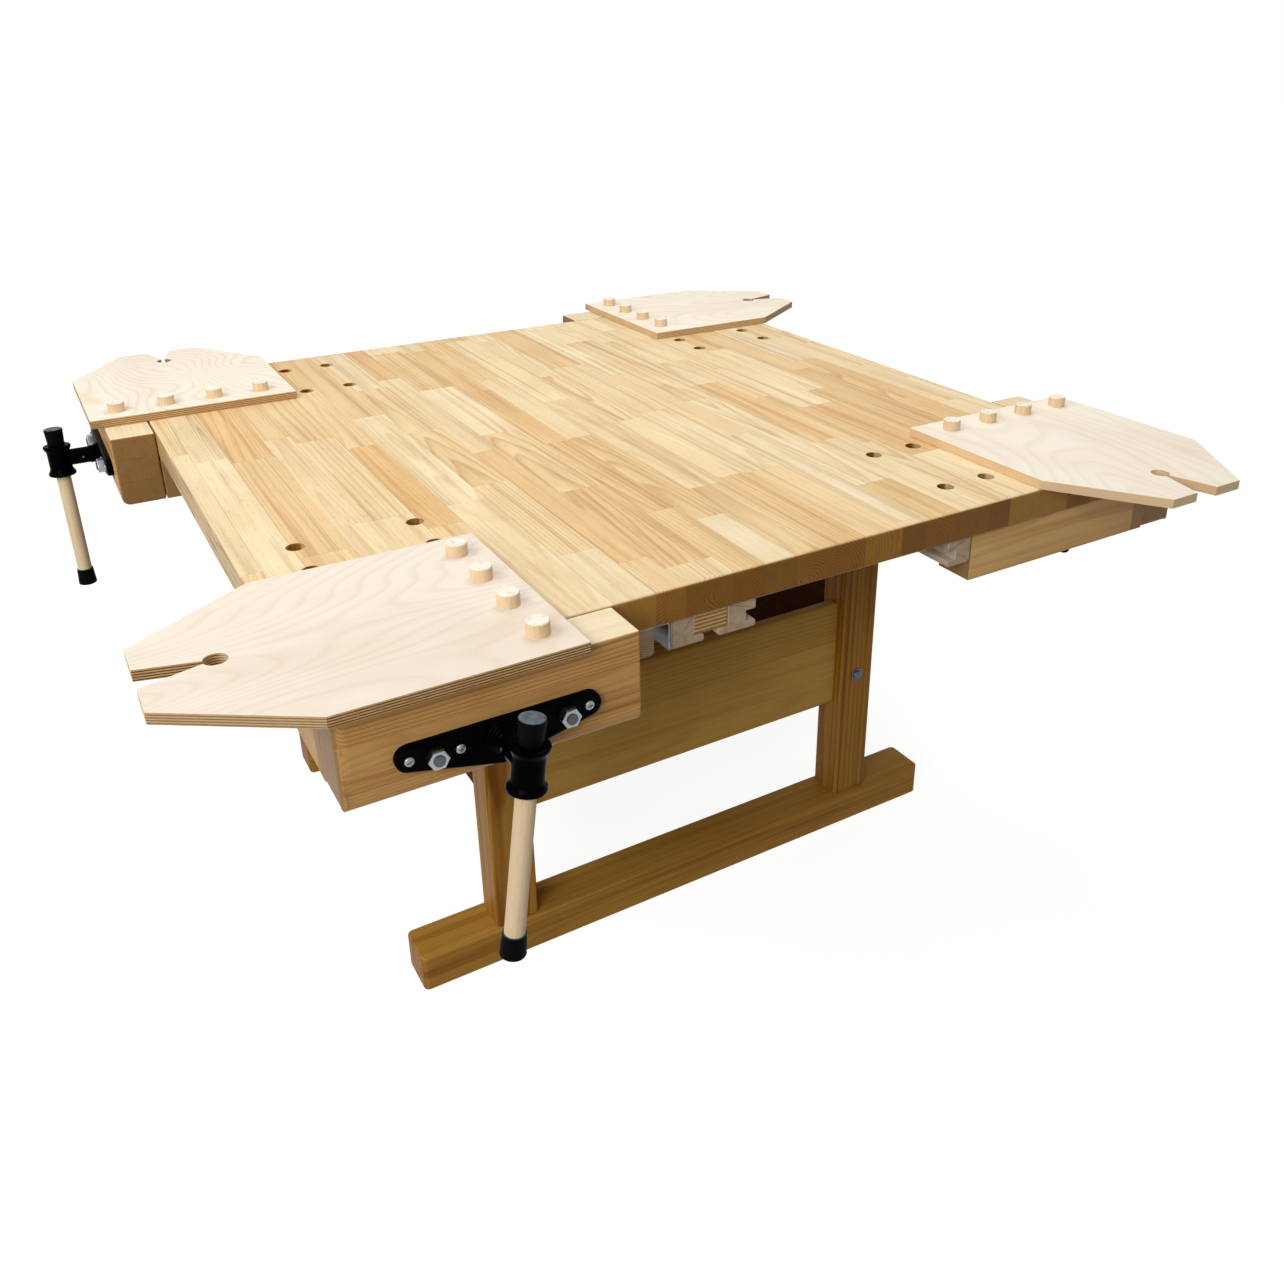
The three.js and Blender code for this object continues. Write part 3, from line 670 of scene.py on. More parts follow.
def plywood(name, seed, face, swirl, lines, stretch, layer, base, core, painted_edge_light=(0.0, 0.5)):
    """Birch plywood: pale peeled faces with faint swirls, and edges of thin layers.

    Swirl, lines and stretch are the figure's strength, number of lines and pace both ways. Layer is the
    height of a pale and a dark layer. The last argument sets how far the edges are lightened on the long
    edges and the ends: painted light, for edges that get little light.
    """
    f = Finish(name)
    field = f.drawn(*stretch, 2.0, seed * 3.7, 1.0, 0.3)
    contour = f.math("FRACT", f.times(field, lines))
    contour = f.ramp(contour, (0.0, 0.0), (0.55, 0.15), (0.8, 1.0), (1.0, 0.0))
    fibre = f.drawn(18.0, 420.0, 420.0, seed)
    cloud = f.drawn(4.0, 11.0, 7.0, seed * 1.3, 3.0)
    colour = f.tint(face, (0.82, 0.73, 0.61), f.times(contour, swirl))
    colour = f.tint(colour, f.ramp(cloud, (0.34, (0.95, 0.91, 0.88)), (0.56, 1.0)))
    colour = f.tint(colour, (0.78, 0.6, 0.44), f.span(fibre, 0.58, 0.75, 0.0, 0.16))

    height = f.math("DIVIDE", f.math("SUBTRACT", f.axes[2], base), layer)
    height = f.linear(f.drawn(9.0, 9.0, 9.0, seed, 1.0), 0.12, height)
    edge = f.ramp(
        f.math("FRACT", height),
        (0.0, LAYER_PALE), (0.44, shade(206, 168, 116)), (0.5, core),
        (0.62, core), (0.9, shade(142, 104, 60)), (1.0, LAYER_PALE),
    )
    wear = f.drawn(150.0, 150.0, 900.0, seed)
    edge = f.tint(edge, f.ramp(wear, (0.3, (0.8, 0.75, 0.68)), (0.62, 1.0)))
    # Edges mixed toward pale: painted light, for edges that get little light.
    edge = f.mix(f.span(f.sides[0], 0.3, 0.9, *painted_edge_light), edge, shade(242, 214, 174))
    return f.done(
        Base_Color=f.mix(f.span(f.sides[2], 0.5, 0.8), edge, colour),
        Roughness=f.span(cloud, 0.3, 0.7, 0.5, 0.62),
        Specular_IOR_Level=0.25,
        Normal=f.bump(fibre, 0.0003, 0.25),
    )


def metal(name, colour, roughness, scratch):
    """Bright metal with fine scratches and dull patches."""
    f = Finish(name)
    fine = f.noise(f.point, scratch, 3.0)
    broad = f.noise(f.point, 40.0, 3.0)
    dull = tuple(channel * 0.75 for channel in colour)
    uneven = f.linear(fine, 0.6, f.times(broad, 0.4))
    return f.done(
        Base_Color=f.mix(f.span(broad, 0.35, 0.7), colour, dull),
        Metallic=1.0,
        Roughness=f.span(uneven, 0.3, 0.7, roughness - 0.08, roughness + 0.12),
        Normal=f.bump(fine, 0.0001, 0.3),
    )


def galvanised(name):
    """Zinc-coated sheet with its crystal spangle."""
    f = Finish(name)
    cells = f.add("TexVoronoi")
    f.fill(cells, Vector=f.point, Scale=90.0)
    grey = f.split(cells.outputs["Color"])[0]
    return f.done(
        Base_Color=f.ramp(grey, *spread((92, 95, 97), (128, 131, 133))),
        Metallic=1.0,
        Roughness=f.span(grey, 0.0, 1.0, 0.34, 0.5),
        Normal=f.bump(grey, 0.0001, 0.2),
    )


def enamel(name, colour, roughness, speckle, gloss):
    """Black paint over a casting, slightly pitted."""
    f = Finish(name)
    pits = f.noise(f.point, speckle)
    broad = f.noise(f.point, 25.0)
    worn = tuple(channel * 1.9 + 0.0005 for channel in colour)
    return f.done(
        Base_Color=f.mix(f.span(broad, 0.4, 0.75), colour, worn),
        Roughness=f.span(pits, 0.3, 0.7, roughness - 0.06, roughness + 0.08),
        Specular_IOR_Level=gloss,
        Normal=f.bump(pits, 0.0002, 0.25),
    )


def rubber(name):
    """Dull black rubber, painted grey in patches on the faces that look up: painted light from above."""
    f = Finish(name)
    grit = f.noise(f.point, 600.0)
    cloud = f.span(f.noise(f.point, 160.0, 3.0), 0.3, 0.6, 0.55, 1.0)
    # Faces that look up turn grey in patches: painted light from above.
    painted_top_light = f.times(f.span(f.facing[2], 0.6, 0.95), cloud)
    black = f.ramp(grit, (0.3, shade(3, 4, 5)), (0.7, shade(9, 10, 12)))
    return f.done(
        Base_Color=f.mix(painted_top_light, black, shade(106, 114, 120)),
        Roughness=f.span(grit, 0.3, 0.7, 0.55, 0.7),
        Specular_IOR_Level=0.03,
        Normal=f.bump(grit, 0.0002, 0.3),
    )


def dowel(name, seed):
    """A short peg: pale sides and whitish, blotchy end grain."""
    f = Finish(name)
    blot = f.drawn(110.0, 110.0, 60.0, seed, 4.0, 0.65)
    fibre = f.drawn(700.0, 700.0, 60.0, seed)
    side = f.ramp(fibre, (0.3, shade(218, 188, 150)), (0.65, shade(234, 209, 173)))
    stops = ((0.36, shade(230, 216, 194)), (0.48, shade(246, 238, 224)), (0.6, shade(252, 248, 240)))
    return f.done(
        Base_Color=f.mix(f.span(f.sides[2], 0.5, 0.8), side, f.ramp(blot, *stops)),
        Roughness=f.span(blot, 0.3, 0.7, 0.5, 0.65),
        Specular_IOR_Level=0.25,
        Normal=f.bump(fibre, 0.0003, 0.3),
    )


PALE = (
    (0.0, shade(252, 240, 206)), (0.24, shade(249, 230, 188)), (0.44, shade(252, 238, 202)),
    (0.6, shade(244, 219, 171)), (0.74, shade(240, 208, 154)), (0.86, shade(252, 235, 194)),
    (1.0, shade(232, 191, 130)),
)
BROWN = (
    (0.0, shade(202, 157, 80)), (0.35, shade(194, 150, 70)), (0.7, shade(184, 140, 61)),
    (1.0, shade(176, 131, 54)),
)
OLIVE = spread((213, 177, 97), (205, 168, 88), (198, 160, 80))
# Side rail tones, far darker than the trestles: painted shade for the dark space seen under the top.
PAINTED_SHADE_TONES = spread((104, 62, 36), (94, 55, 31), (84, 48, 27))
JAW = spread((254, 244, 214), (252, 240, 206), (248, 232, 194))
HANDLE = spread((253, 236, 204), (250, 230, 194), (246, 223, 184))
RAIL = spread((222, 214, 200), (214, 205, 190), (206, 196, 178))
BIRCH = shade(251, 243, 229)
BAR_BIRCH = shade(236, 212, 176)
BAR_CORE = shade(150, 112, 70)
STAVE_ENDS = (
    (0.0, (0.36, 0.2, 0.045)), (0.3, (0.66, 0.47, 0.15)), (0.55, (0.4, 0.25, 0.06)),
    (0.8, (0.74, 0.55, 0.22)), (1.0, (0.48, 0.31, 0.09)),
)
# Tints for faces that don't look up: painted shade on the top's edges and dog hole walls, on the jaws and
# on the housings.
STAVE_SIDE_SHADE = (0.78, 0.71, 0.64)
JAW_SIDE_SHADE = (0.7, 0.47, 0.235)
CHEEK_SIDE_SHADE = (0.84, 0.62, 0.36)

zinc = metal("zinc_plate", shade(158, 165, 169), 0.24, 420.0)
screw_zinc = metal("dull_zinc", shade(146, 151, 154), 0.34, 420.0)
bright = metal("turned_steel", shade(190, 190, 188), 0.24, 900.0)
dull_steel = metal("dull_steel", shade(92, 95, 98), 0.5, 600.0)
sheet_zinc = galvanised("spangled_zinc")
gloss_black = enamel("gloss_black", shade(1, 1, 2), 0.14, 300.0, 0.01)
cast_black = enamel("cast_black", shade(1, 1, 2), 0.34, 700.0, 0.015)
black_rubber = rubber("black_rubber")

# The top: glued staves, with the dog holes of all four stations. The first row of holes is on the jaw.
dog_rows = [DOG_FIRST_ROW + DOG_PITCH * row for row in range(-1, DOG_ROWS)]
holes = []
for place in station_places:
    for column in DOG_COLUMNS:
        for row in dog_rows[1:]:
            spot = place @ Vector((column, row, 0))
            holes.append(circle(spot.x, spot.y, DOG_DIAMETER / 2))
top_wood = wood(
    "glued_staves", 1, 0, PALE, 4.2, heart=(0.0, (top_low.z + top_high.z) / 2), stave=(0.054, 0.38),
    uneven=0.12, ring=0.0034, figure=(0.52, 0.8), veins=(0.48, 0.2), ends=STAVE_ENDS, side=STAVE_SIDE_SHADE,
    joint=0.4, gloss=0.2,
)
plan = rectangle(top_low.x, top_low.y, top_high.x, top_high.y, TOP_CORNER)
slab = prism(plan, top_low.z, top_high.z, TOP_UNDER_EDGE, TOP_EDGE, holes=holes, ease=DOG_EASE)
piece("stave_top", slab, top_wood, "bench", ["bench_top"])


# Trestles and side rails
def beam(node, along, tones, seed, corner, ease, in_plan=False, stave=(1.0, None), lift=0.0, top=None,
         figure=(0.7, 1.0), veins=(0.5, 0.8), gloss=0.12):
    """A timber in place of a CAD node, with its grain along one axis.

    Its outline is in plan or across the grain. Lift moves the pith, and top is another upper height.
    """
    low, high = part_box(node)
    high.z = top or high.z
    across = (2, 2, 0)[along]
    middle = (low + high) / 2
    heart = (middle[across] + lift, middle[3 - along - across])
    finish = wood(
        f"{node}_wood", along, across, tones, seed, heart, stave, ring=0.0055, figure=figure, veins=veins,
        ends=(0.8, 0.66, 0.5), joint=0.5, gloss=gloss,
    )
    if in_plan:
        mesh = prism(rectangle(low.x, low.y, high.x, high.y, corner), low.z, high.z, ease, ease)
    elif along == 0:
        outline = rectangle(low.y, low.z, high.y, high.z, corner)
        mesh = moved(prism(outline, low.x, high.x, ease, ease), ALONG_X)
    else:
        mesh = along_y(rectangle(low.x, low.z, high.x, high.z, corner), low.y, high.y, ease, ease)
    piece(f"{node}_timber", mesh, finish, "bench", [node])


for number, end in enumerate(("front", "rear")):
    beam(f"{end}_foot", 0, BROWN, 11.0 + number, corner=0.009, ease=ROUND_EASE, in_plan=True)
    for hand, seed in (("left", 21.0), ("right", 31.0)):
        beam(f"{end}_{hand}_upright", 2, BROWN, seed + number, corner=0.005, ease=0.002, in_plan=True)
    beam(f"{end}_panel", 0, OLIVE, 41.0 + number, corner=0.005, ease=EASE, stave=(0.2, None), lift=0.126,
         figure=(0.4, 0.5), veins=(0.2, 0.25))
panel_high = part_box("front_panel")[1]
# Side rails in the darkest tones: painted shade between the trestles, not a stain.
for number, hand in enumerate(("left", "right")):
    beam(f"{hand}_side_rail", 1, PAINTED_SHADE_TONES, 51.0 + number, corner=0.005, ease=EASE, top=panel_high.z,
         gloss=0.01)

# Coach bolts through the uprights into the side rails
for end, sign in (("front", -1), ("rear", 1)):
    for hand in ("left", "right"):
        low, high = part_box(f"{end}_{hand}_upright")
        face = low.y if sign < 0 else high.y
        beside = BOLT_SHIFT if hand == "left" else 0.0
        spot = Matrix.Translation(((low.x + high.x) / 2 + beside, face, BOLT_HEIGHT))
        turn = Matrix.Rotation(math.pi / 2 * -sign, 4, "X")
        head = moved(gathered(turned(WASHER, 28), turned(BOLT_DOME, 28)), turn)
        piece(f"{end}_{hand}_upright_bolt", head, dull_steel, "bench", place=spot)


# Storage rails under the front edge
def rail(name, node, body, seed, foot_left=0.0, foot_right=0.0, head_left=0.0, head_right=0.0):
    """A plywood rail with lips of some widths at its foot and head. It gives the right side's place."""
    low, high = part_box(node)
    left = low.x + max(foot_left, head_left)
    right = left + body

    def flank(x, foot_x, head_x):
        """Corners up one side of the rail, with the lips' ends."""
        corners = [(foot_x, low.z, FINE_EASE if foot_x == x else ROUND_EASE)]
        if foot_x != x:
            corners += [(foot_x, low.z + LIP_THICK, ROUND_EASE), (x, low.z + LIP_THICK, FINE_EASE)]
        if head_x != x:
            corners += [(side, high.z - HEAD_LIP_THICK, FINE_EASE) for side in (x, head_x)]
        return corners + [(head_x, high.z, FINE_EASE)]

    corners = flank(right, right + foot_right, right + head_right)
    corners += flank(left, left - foot_left, left - head_left)[::-1]
    finish = wood(f"{name}_wood", 1, 2, RAIL, seed, heart=((low.z + high.z) / 2, left), ring=0.003,
                  figure=(0.2, 0.2), ends=(0.86, 0.78, 0.68))
    mesh = along_y(rounded(corners), low.y, high.y, EASE, EASE)
    piece(name, mesh, finish, "bench", [node])
    return right


slide_right = rail("slide_rail_body", "slide_rail", SLIDE_BODY, 61.0, foot_right=LIP)
rail("middle_rail_body", "middle_storage_rail", RAIL_BODY, 62.0, LIP, LIP, head_right=LIP)
rail("right_rail_body", "right_storage_rail", RAIL_BODY, 63.0, foot_left=LIP, head_left=LIP)

low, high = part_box("slide_rail")
bar_top = high.z - BAR_DROP
outline = rectangle(slide_right, bar_top - BAR_HIGH, high.x, bar_top, BAR_EASE)
bar = along_y(outline, low.y, high.y, SMALL_EASE, SMALL_EASE)
bar_ply = plywood("slide_bar_ply", 64.0, BAR_BIRCH, 0.2, 17.0, (2.2, 5.0), BAR_LAYER, low.z, BAR_CORE)
piece("slide_bar", bar, bar_ply, "bench")

low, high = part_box("rail_block")
block_wood = wood("block_wood", 1, 0, RAIL, 65.0, heart=((low.x + high.x) / 2, low.z), ring=0.003,
                  figure=(0.3, 0.3), ends=(0.9, 0.8, 0.68))
outline = rounded([
    (low.x, low.z, EASE), (high.x, low.z, BLOCK_ROUND), (high.x, high.z, EASE), (low.x, high.z, EASE),
])
block = along_y(outline, low.y, high.y, EASE, EASE)
piece("storage_block", block, block_wood, "bench", ["rail_block"])

low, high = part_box("rail_angle")
inner_x, inner_z = high.x - ANGLE_THICK, high.z - ANGLE_THICK
outline = rounded([
    (low.x, inner_z, FINE_EASE), (inner_x, inner_z, ANGLE_BEND), (inner_x, low.z, FINE_EASE),
    (high.x, low.z, FINE_EASE), (high.x, high.z, ANGLE_OUTER_BEND), (low.x, high.z, FINE_EASE),
])
angle = along_y(outline, low.y, high.y, TINY_EASE, TINY_EASE)
piece("zinc_angle", angle, sheet_zinc, "bench", ["rail_angle"])


# One vise and its fretsaw board. A station is given by the number of quarter turns from the front.
def fitted(turn, label, mesh, finish, body, node=None, place=None, crease=38):
    """A piece of one station, at the station's place or one of its own."""
    name = STATIONS[turn]
    body = body if body == "bench" else f"{name}_{body}"
    nodes = [f"{name}_{node}"] if node else ()
    piece(f"{name}_{label}", mesh, finish, body, nodes, place or station_places[turn], crease)


def cross_head(radius, height):
    """A pan-head screw with a cross recess, about Z. The shares are of its radius and height."""
    rim, slot_long, slot_wide = 0.35, 0.55, 0.13
    profile = [(radius, -HEAD_SEAT), (radius, height * rim)]
    for step in range(1, 5):
        turn = math.radians(90 * step / 5)
        share_x, share_z = rim + (1 - rim) * math.cos(turn), rim + (1 - rim) * math.sin(turn)
        profile.append((radius * share_x, height * share_z))
    profile.append((0.0, height))
    x, y = radius * slot_long, radius * slot_wide
    slots = []
    for turn in (0, 90):
        bar = prism(rectangle(-x, -y, x, y), height * rim, height * 2)
        slots.append(moved(bar, Matrix.Rotation(math.radians(turn), 4, "Z")))
    return drilled(turned(profile, 24), *slots)


def make_housing(turn, seed):
    """The fixed jaw under the edge of the top and the two cheeks behind it."""
    low, high = station_box("vise_housing")
    bay = ROD_SPACING / 2 + BAY_MARGIN
    boards = (
        ("fixed_jaw", 0, (low.x, low.y, high.x, FIXED_JAW_THICK)),
        ("left_cheek", 1, (low.x, FIXED_JAW_THICK, -bay, high.y)),
        ("right_cheek", 1, (bay, FIXED_JAW_THICK, high.x, high.y)),
    )
    for number, (board, along, plan) in enumerate(boards):
        # Darker sides and dark grey end grain are painted shade for faces under the board; the end tint is
        # also end grain's own tone.
        finish = wood(
            f"{STATIONS[turn]}_{board}_wood", along, 2, JAW, seed + number * 0.3, heart=(axis_z, 0.1),
            figure=(0.4, 0.5), veins=(0.3, 0.4), ends=(0.5, 0.48, 0.46), side=CHEEK_SIDE_SHADE, rings=0.4,
        )
        mesh = prism(rectangle(*plan, SOFT_EASE, 2), low.z, high.z, SOFT_EASE, SOFT_EASE, steps=2)
        fitted(turn, board, mesh, finish, "bench", None if number else "vise_housing")


def make_jaw(turn, seed):
    """The moving jaw: a rounded block with the first two dog holes."""
    low, high = station_box("vise_jaw")
    block = prism(rectangle(low.x, low.y, high.x, high.y), low.z, high.z)
    block = softened(block, JAW_NOSE, low, (0, 1), (1, 2))
    block = softened(block, JAW_CORNER, low, (0, 2))
    sharp = [edge for edge in block.edges if edge.calc_face_angle(0) > math.radians(80)]
    bmesh.ops.bevel(block, geom=sharp, offset=ROUND_EASE, segments=3, profile=0.5, affect="EDGES")
    r, over = DOG_DIAMETER / 2, 0.001
    drill = [(r, high.z - JAW_DOG_DEPTH), (r, high.z - DOG_EASE), (r + DOG_EASE + over, high.z + over)]
    drills = []
    for column in DOG_COLUMNS:
        drills.append(moved(turned(drill), Matrix.Translation((column, dog_rows[0], 0))))
    # Brown sides and dark grey end grain are painted shade of faces under the board's overhang; the end
    # tint is also end grain's own tone.
    finish = wood(
        f"{STATIONS[turn]}_jaw_wood", 0, 2, JAW, seed, heart=(high.z - JAW_HEART, (low.y + high.y) / 2),
        stave=(JAW_STAVE, None), ring=0.0045, figure=(0.12, 0.9), veins=(0.0, 1.0), ends=(0.52, 0.5, 0.48),
        side=JAW_SIDE_SHADE, joint=0.5, rings=0.2,
    )
    fitted(turn, "jaw", drilled(block, *drills), finish, "carriage", "vise_jaw")


def make_plate(turn):
    """The cast front plate with its stepped boss, and its four screws."""
    low, high = station_box("vise_plate")
    end_r, tip_r = PLATE_END_RADIUS, PLATE_TIP_RADIUS
    end_x, end_z, tip_z = high.x - end_r, PLATE_RISE - end_r, tip_r - PLATE_FALL
    run = math.hypot(end_x, end_z - tip_z)
    slope = math.degrees(math.atan2(end_z - tip_z, end_x) - math.asin((tip_r - end_r) / run))
    outline = arc(0, axis_z + tip_z, tip_r, -90 - slope, -90 + slope)
    outline += arc(end_x, axis_z + end_z, end_r, -90 + slope, 90, 16)
    outline += arc(-end_x, axis_z + end_z, end_r, 90, 270 - slope, 16)
    front = high.y - PLATE_THICK
    sheet = along_y(outline, front, high.y, ROUND_EASE, FINE_EASE, steps=4)
    step = (front - low.y) / len(BOSS_RADII)
    profile = [(0, front + BOSS_ROOT)]
    for number, r in enumerate(BOSS_RADII):
        back = front - step * number
        groove = back - BOSS_GROOVE / 2
        profile += [(r - BOSS_GROOVE, back + SMALL_EASE / 2), (r - BOSS_GROOVE, groove)]
        profile += [(r, groove - SMALL_EASE), (r, back - step + SMALL_EASE), (r - SMALL_EASE, back - step)]
    boss = turned_y(profile, 48, z=axis_z)
    fitted(turn, "plate", gathered(sheet, boss), cast_black, "carriage", "vise_plate")
    for number, (x, z) in enumerate(PLATE_SCREWS):
        spot = Matrix.Translation((x, front, axis_z + z)) @ AGAINST_Y
        head = cross_head(HEAD_RADIUS, HEAD_HEIGHT)
        head = moved(head, spot @ Matrix.Rotation(FIRST_HEAD_ANGLE + number, 4, "Z"))
        fitted(turn, f"plate_screw_{number}", head, screw_zinc, "carriage")


def make_guides(turn):
    """The guide rods with their tie bar, and the nuts and studs that hold them to the plate."""
    low, high = station_box("vise_guide_frame")
    plate_back = station_box("vise_plate")[1].y
    nut_back = plate_back - PLATE_THICK
    nut_front = nut_back - NUT_THICK
    half = (high.z - low.z) / 2
    tie = rectangle(low.x, axis_z - half, high.x, axis_z + half, half / 2)
    rods = [along_y(tie, high.y - TIE_THICK, high.y, SOFT_EASE, SOFT_EASE)]
    nuts, studs = [], []
    for x in (-ROD_SPACING / 2, ROD_SPACING / 2):
        r = ROD_DIAMETER / 2
        rods.append(turned_y([(r, plate_back + ROD_GAP), (r, high.y - TIE_THICK / 2)], x=x, z=axis_z))
        hexagon = circle(x, axis_z, NUT_ACROSS / 2, 6)
        nuts.append(along_y(hexagon, nut_front, nut_back, NUT_EASE, TINY_EASE, steps=2))
        start, end = -nut_front - STUD_ROOT, -low.y - STUD_SETBACK
        stud = threaded(STUD_DIAMETER / 2, *STUD_THREAD, start, end, rows=5)
        studs.append(moved(stud, Matrix.Translation((x, 0, axis_z)) @ AGAINST_Y))
    fitted(turn, "guides", gathered(*rods), bright, "carriage", "vise_guide_frame")
    fitted(turn, "nuts", gathered(*nuts), zinc, "carriage")
    fitted(turn, "studs", gathered(*studs), dull_steel, "carriage")


def make_screw(turn):
    """The lead screw: a journal in the plate, the thrust collar, a smooth length and the thread."""
    low, high = station_box("vise_screw")
    plate_low, plate_high = station_box("vise_plate")
    r, back = SCREW_RADIUS, plate_high.y
    collar, collar_end = back + COLLAR_FRONT, back + COLLAR_BACK
    start = back + SMOOTH_LENGTH
    profile = [
        (JOURNAL_RADIUS, low.y), (JOURNAL_RADIUS, plate_low.y), (r, plate_low.y), (r, collar),
        (COLLAR_RADIUS, collar), (COLLAR_RADIUS, collar_end), (r, collar_end), (r, start),
        (r - SOFT_EASE, start + SOFT_EASE),
    ]
    bar = threaded(r, *SCREW_THREAD, -high.y, -start, rows=7)
    bar = moved(bar, Matrix.Translation((0, 0, axis_z)) @ AGAINST_Y)
    mesh = gathered(turned_y(profile, z=axis_z), bar)
    fitted(turn, "lead_screw", mesh, bright, "spindle", "vise_screw", crease=50)


def make_bracket(turn):
    """The casting behind the fixed jaw: a flange and a rib with bosses for the nut and the rods."""
    low, high = station_box("vise_nut_bracket")
    half = (high.z - low.z) / 2
    flange = rectangle(low.x, axis_z - half, high.x, axis_z + half, FLANGE_CORNER)
    left, right = low.x + RIB_INSET, high.x - RIB_INSET
    rib = rectangle(left, axis_z - RIB_HALF, right, axis_z + RIB_HALF, EASE)
    parts = [
        along_y(flange, low.y, low.y + FLANGE_THICK, FINE_EASE, SOFT_EASE),
        along_y(rib, low.y + FLANGE_THICK / 2, low.y + RIB_DEPTH, FINE_EASE, SOFT_EASE),
    ]
    for x, (radius, bore) in ((0.0, NUT_BOSS), (-ROD_SPACING / 2, ROD_BOSS), (ROD_SPACING / 2, ROD_BOSS)):
        profile = [(bore, low.y), (bore, high.y - SMALL_EASE), (bore + SMALL_EASE, high.y)]
        profile += [(radius - SOFT_EASE, high.y), (radius, high.y - SOFT_EASE)]
        profile += [(radius + out, low.y + depth) for out, depth in BOSS_FOOT]
        parts.append(turned_y(profile, closed=True, x=x, z=axis_z))
    fitted(turn, "nut_bracket", gathered(*parts), cast_black, "bench", "vise_nut_bracket")


def make_handle(turn, seed):
    """The T-hub and its pin, the handle bar through it and the bar's rubber caps."""
    name = STATIONS[turn]
    joints = {joint["name"]: joint for joint in frame["joints"]}
    upward = side_turns[turn].inverted() @ Vector(joints[f"{name}_handle_slide"]["axis"])
    lean = Matrix.Rotation(math.atan2(upward.x, upward.z), 4, "Y")
    spot = Matrix.Translation(joints[f"{name}_screw_turn"]["pos_m"]) @ side_turns[turn] @ lean

    def reach(node):
        """A node's box along the leaning handle, from the hub's middle."""
        points = [spot.inverted() @ v.co for v in frame["nodes"][f"{name}_{node}"].data.vertices]
        return Vector(map(min, *points)), Vector(map(max, *points))

    low, high = reach("vise_hub")
    rim, end, neck_end = high.x, (high.z - low.z) / 2, high.y
    half = [(HUB_BORE, 0.0), (HUB_BORE, end - HUB_EASE), (HUB_BORE + HUB_EASE, end)]
    half += [(rim - inward, end - back) for inward, back in HUB_FLARE]
    waist = half[-1][0]
    half.append((waist, 0.0))
    profile = half + [(radius, -z) for radius, z in half[-2:0:-1]]
    tube = moved(turned(profile, 48, True), Matrix.Translation((0, 0, (low.z + high.z) / 2)))
    profile = [(NECK_RADIUS, waist - NECK_ROOT)]
    profile += [(NECK_RADIUS + out, neck_end - back) for out, back in NECK_BEAD]
    hub = gathered(tube, turned_y(profile, 40))
    fitted(turn, "hub", hub, gloss_black, "spindle", "vise_hub", spot)
    pin = turned(rod(PIN_RADIUS, -PIN_HALF, PIN_HALF, HUB_EASE), 16)
    across = Matrix.Translation((0, neck_end - PIN_SETBACK, 0)) @ Matrix.Rotation(math.pi / 2, 4, "Y")
    fitted(turn, "hub_pin", pin, dull_steel, "spindle", place=spot @ across)

    low, high = reach("vise_handle")
    r = high.x
    bar = turned(rod(r, low.z, high.z, EASE), 40)
    finish = wood(f"{name}_handle_wood", 2, 0, HANDLE, seed, ring=0.0035, figure=(0.25, 0.25),
                  veins=(0.2, 0.2))
    fitted(turn, "handle_bar", bar, finish, "handle", "vise_handle", spot)

    for cap, sign in (("upper_cap", 1), ("lower_cap", -1)):
        low, high = reach(f"vise_{cap}")
        mouth, tip = (low.z - CAP_SINK, high.z) if sign > 0 else (high.z, low.z)
        bore, wide = r + CAP_GAP, high.x
        thin = wide - CAP_TAPER
        profile = [(bore, tip - CAP_WALL * sign), (bore, mouth)]
        profile += [(thin - SMALL_EASE, mouth), (thin, mouth + SMALL_EASE * sign)]
        profile += [(wide - inward, tip - back * sign) for inward, back in CAP_ROUND]
        mesh = turned(profile, 40)
        fitted(turn, f"{cap}_rubber", mesh, black_rubber, "handle", f"vise_{cap}", spot)


def make_board(turn, seed, face, core, painted_edge_light, swirl, lines, stretch):
    """A fretsaw board with its keyhole notch, and the pegs that hold it in the dog holes."""
    name = STATIONS[turn]
    low, high = station_box("fretsaw_board")
    middle, nose = (low.y + high.y) / 2, BOARD_NOSE / 2
    shoulder, hole_x = high.x - BOARD_SHOULDER, low.x + NOTCH_SETBACK
    ends = [
        (low.x, middle - nose), (shoulder, low.y), (high.x, low.y), (high.x, high.y), (shoulder, high.y),
        (low.x, middle + nose), (low.x, middle + NOTCH_MOUTH / 2), (low.x, middle - NOTCH_MOUTH / 2),
    ]
    corners = [(x, y, EASE) for x, y in ends]
    corners.insert(-1, (hole_x, middle, 0.0))
    outline = rounded(corners, 2)
    tip = outline.index(Vector((hole_x, middle)))
    neck = math.degrees(math.asin(NOTCH_NECK / NOTCH_HOLE))
    outline[tip:tip + 1] = arc(hole_x, middle, NOTCH_HOLE / 2, 180 - neck, -180 + neck, 24)
    base = top_high.z + BOARD_GAP
    layer = BOARD_THICK / BOARD_LAYERS
    finish = plywood(f"{name}_board_ply", seed, face, swirl, lines, stretch, layer, base, core, painted_edge_light)
    sheet = prism(outline, base, base + BOARD_THICK, BOARD_EASE, BOARD_EASE, steps=2)
    fitted(turn, "board_sheet", sheet, finish, "board", "fretsaw_board")
    for number in range(PEG_ROWS):
        foot = base if number == 0 else top_high.z - PEG_DEPTH
        shank, inside = PEG_SHANK_RADIUS, base + BOARD_THICK / 2
        profile = [(shank - EASE, foot), (shank, foot + EASE), (shank, inside), (PEG_RADIUS, inside)]
        profile += [(PEG_RADIUS, high.z - PEG_EASE), (PEG_RADIUS - PEG_EASE, high.z)]
        finish = dowel(f"{name}_peg_{number}_wood", seed + number * 2.3)
        spot = station_places[turn] @ Matrix.Translation((DOG_COLUMNS[1], dog_rows[number], 0))
        fitted(turn, f"peg_{number}", turned(profile), finish, "board", place=spot)


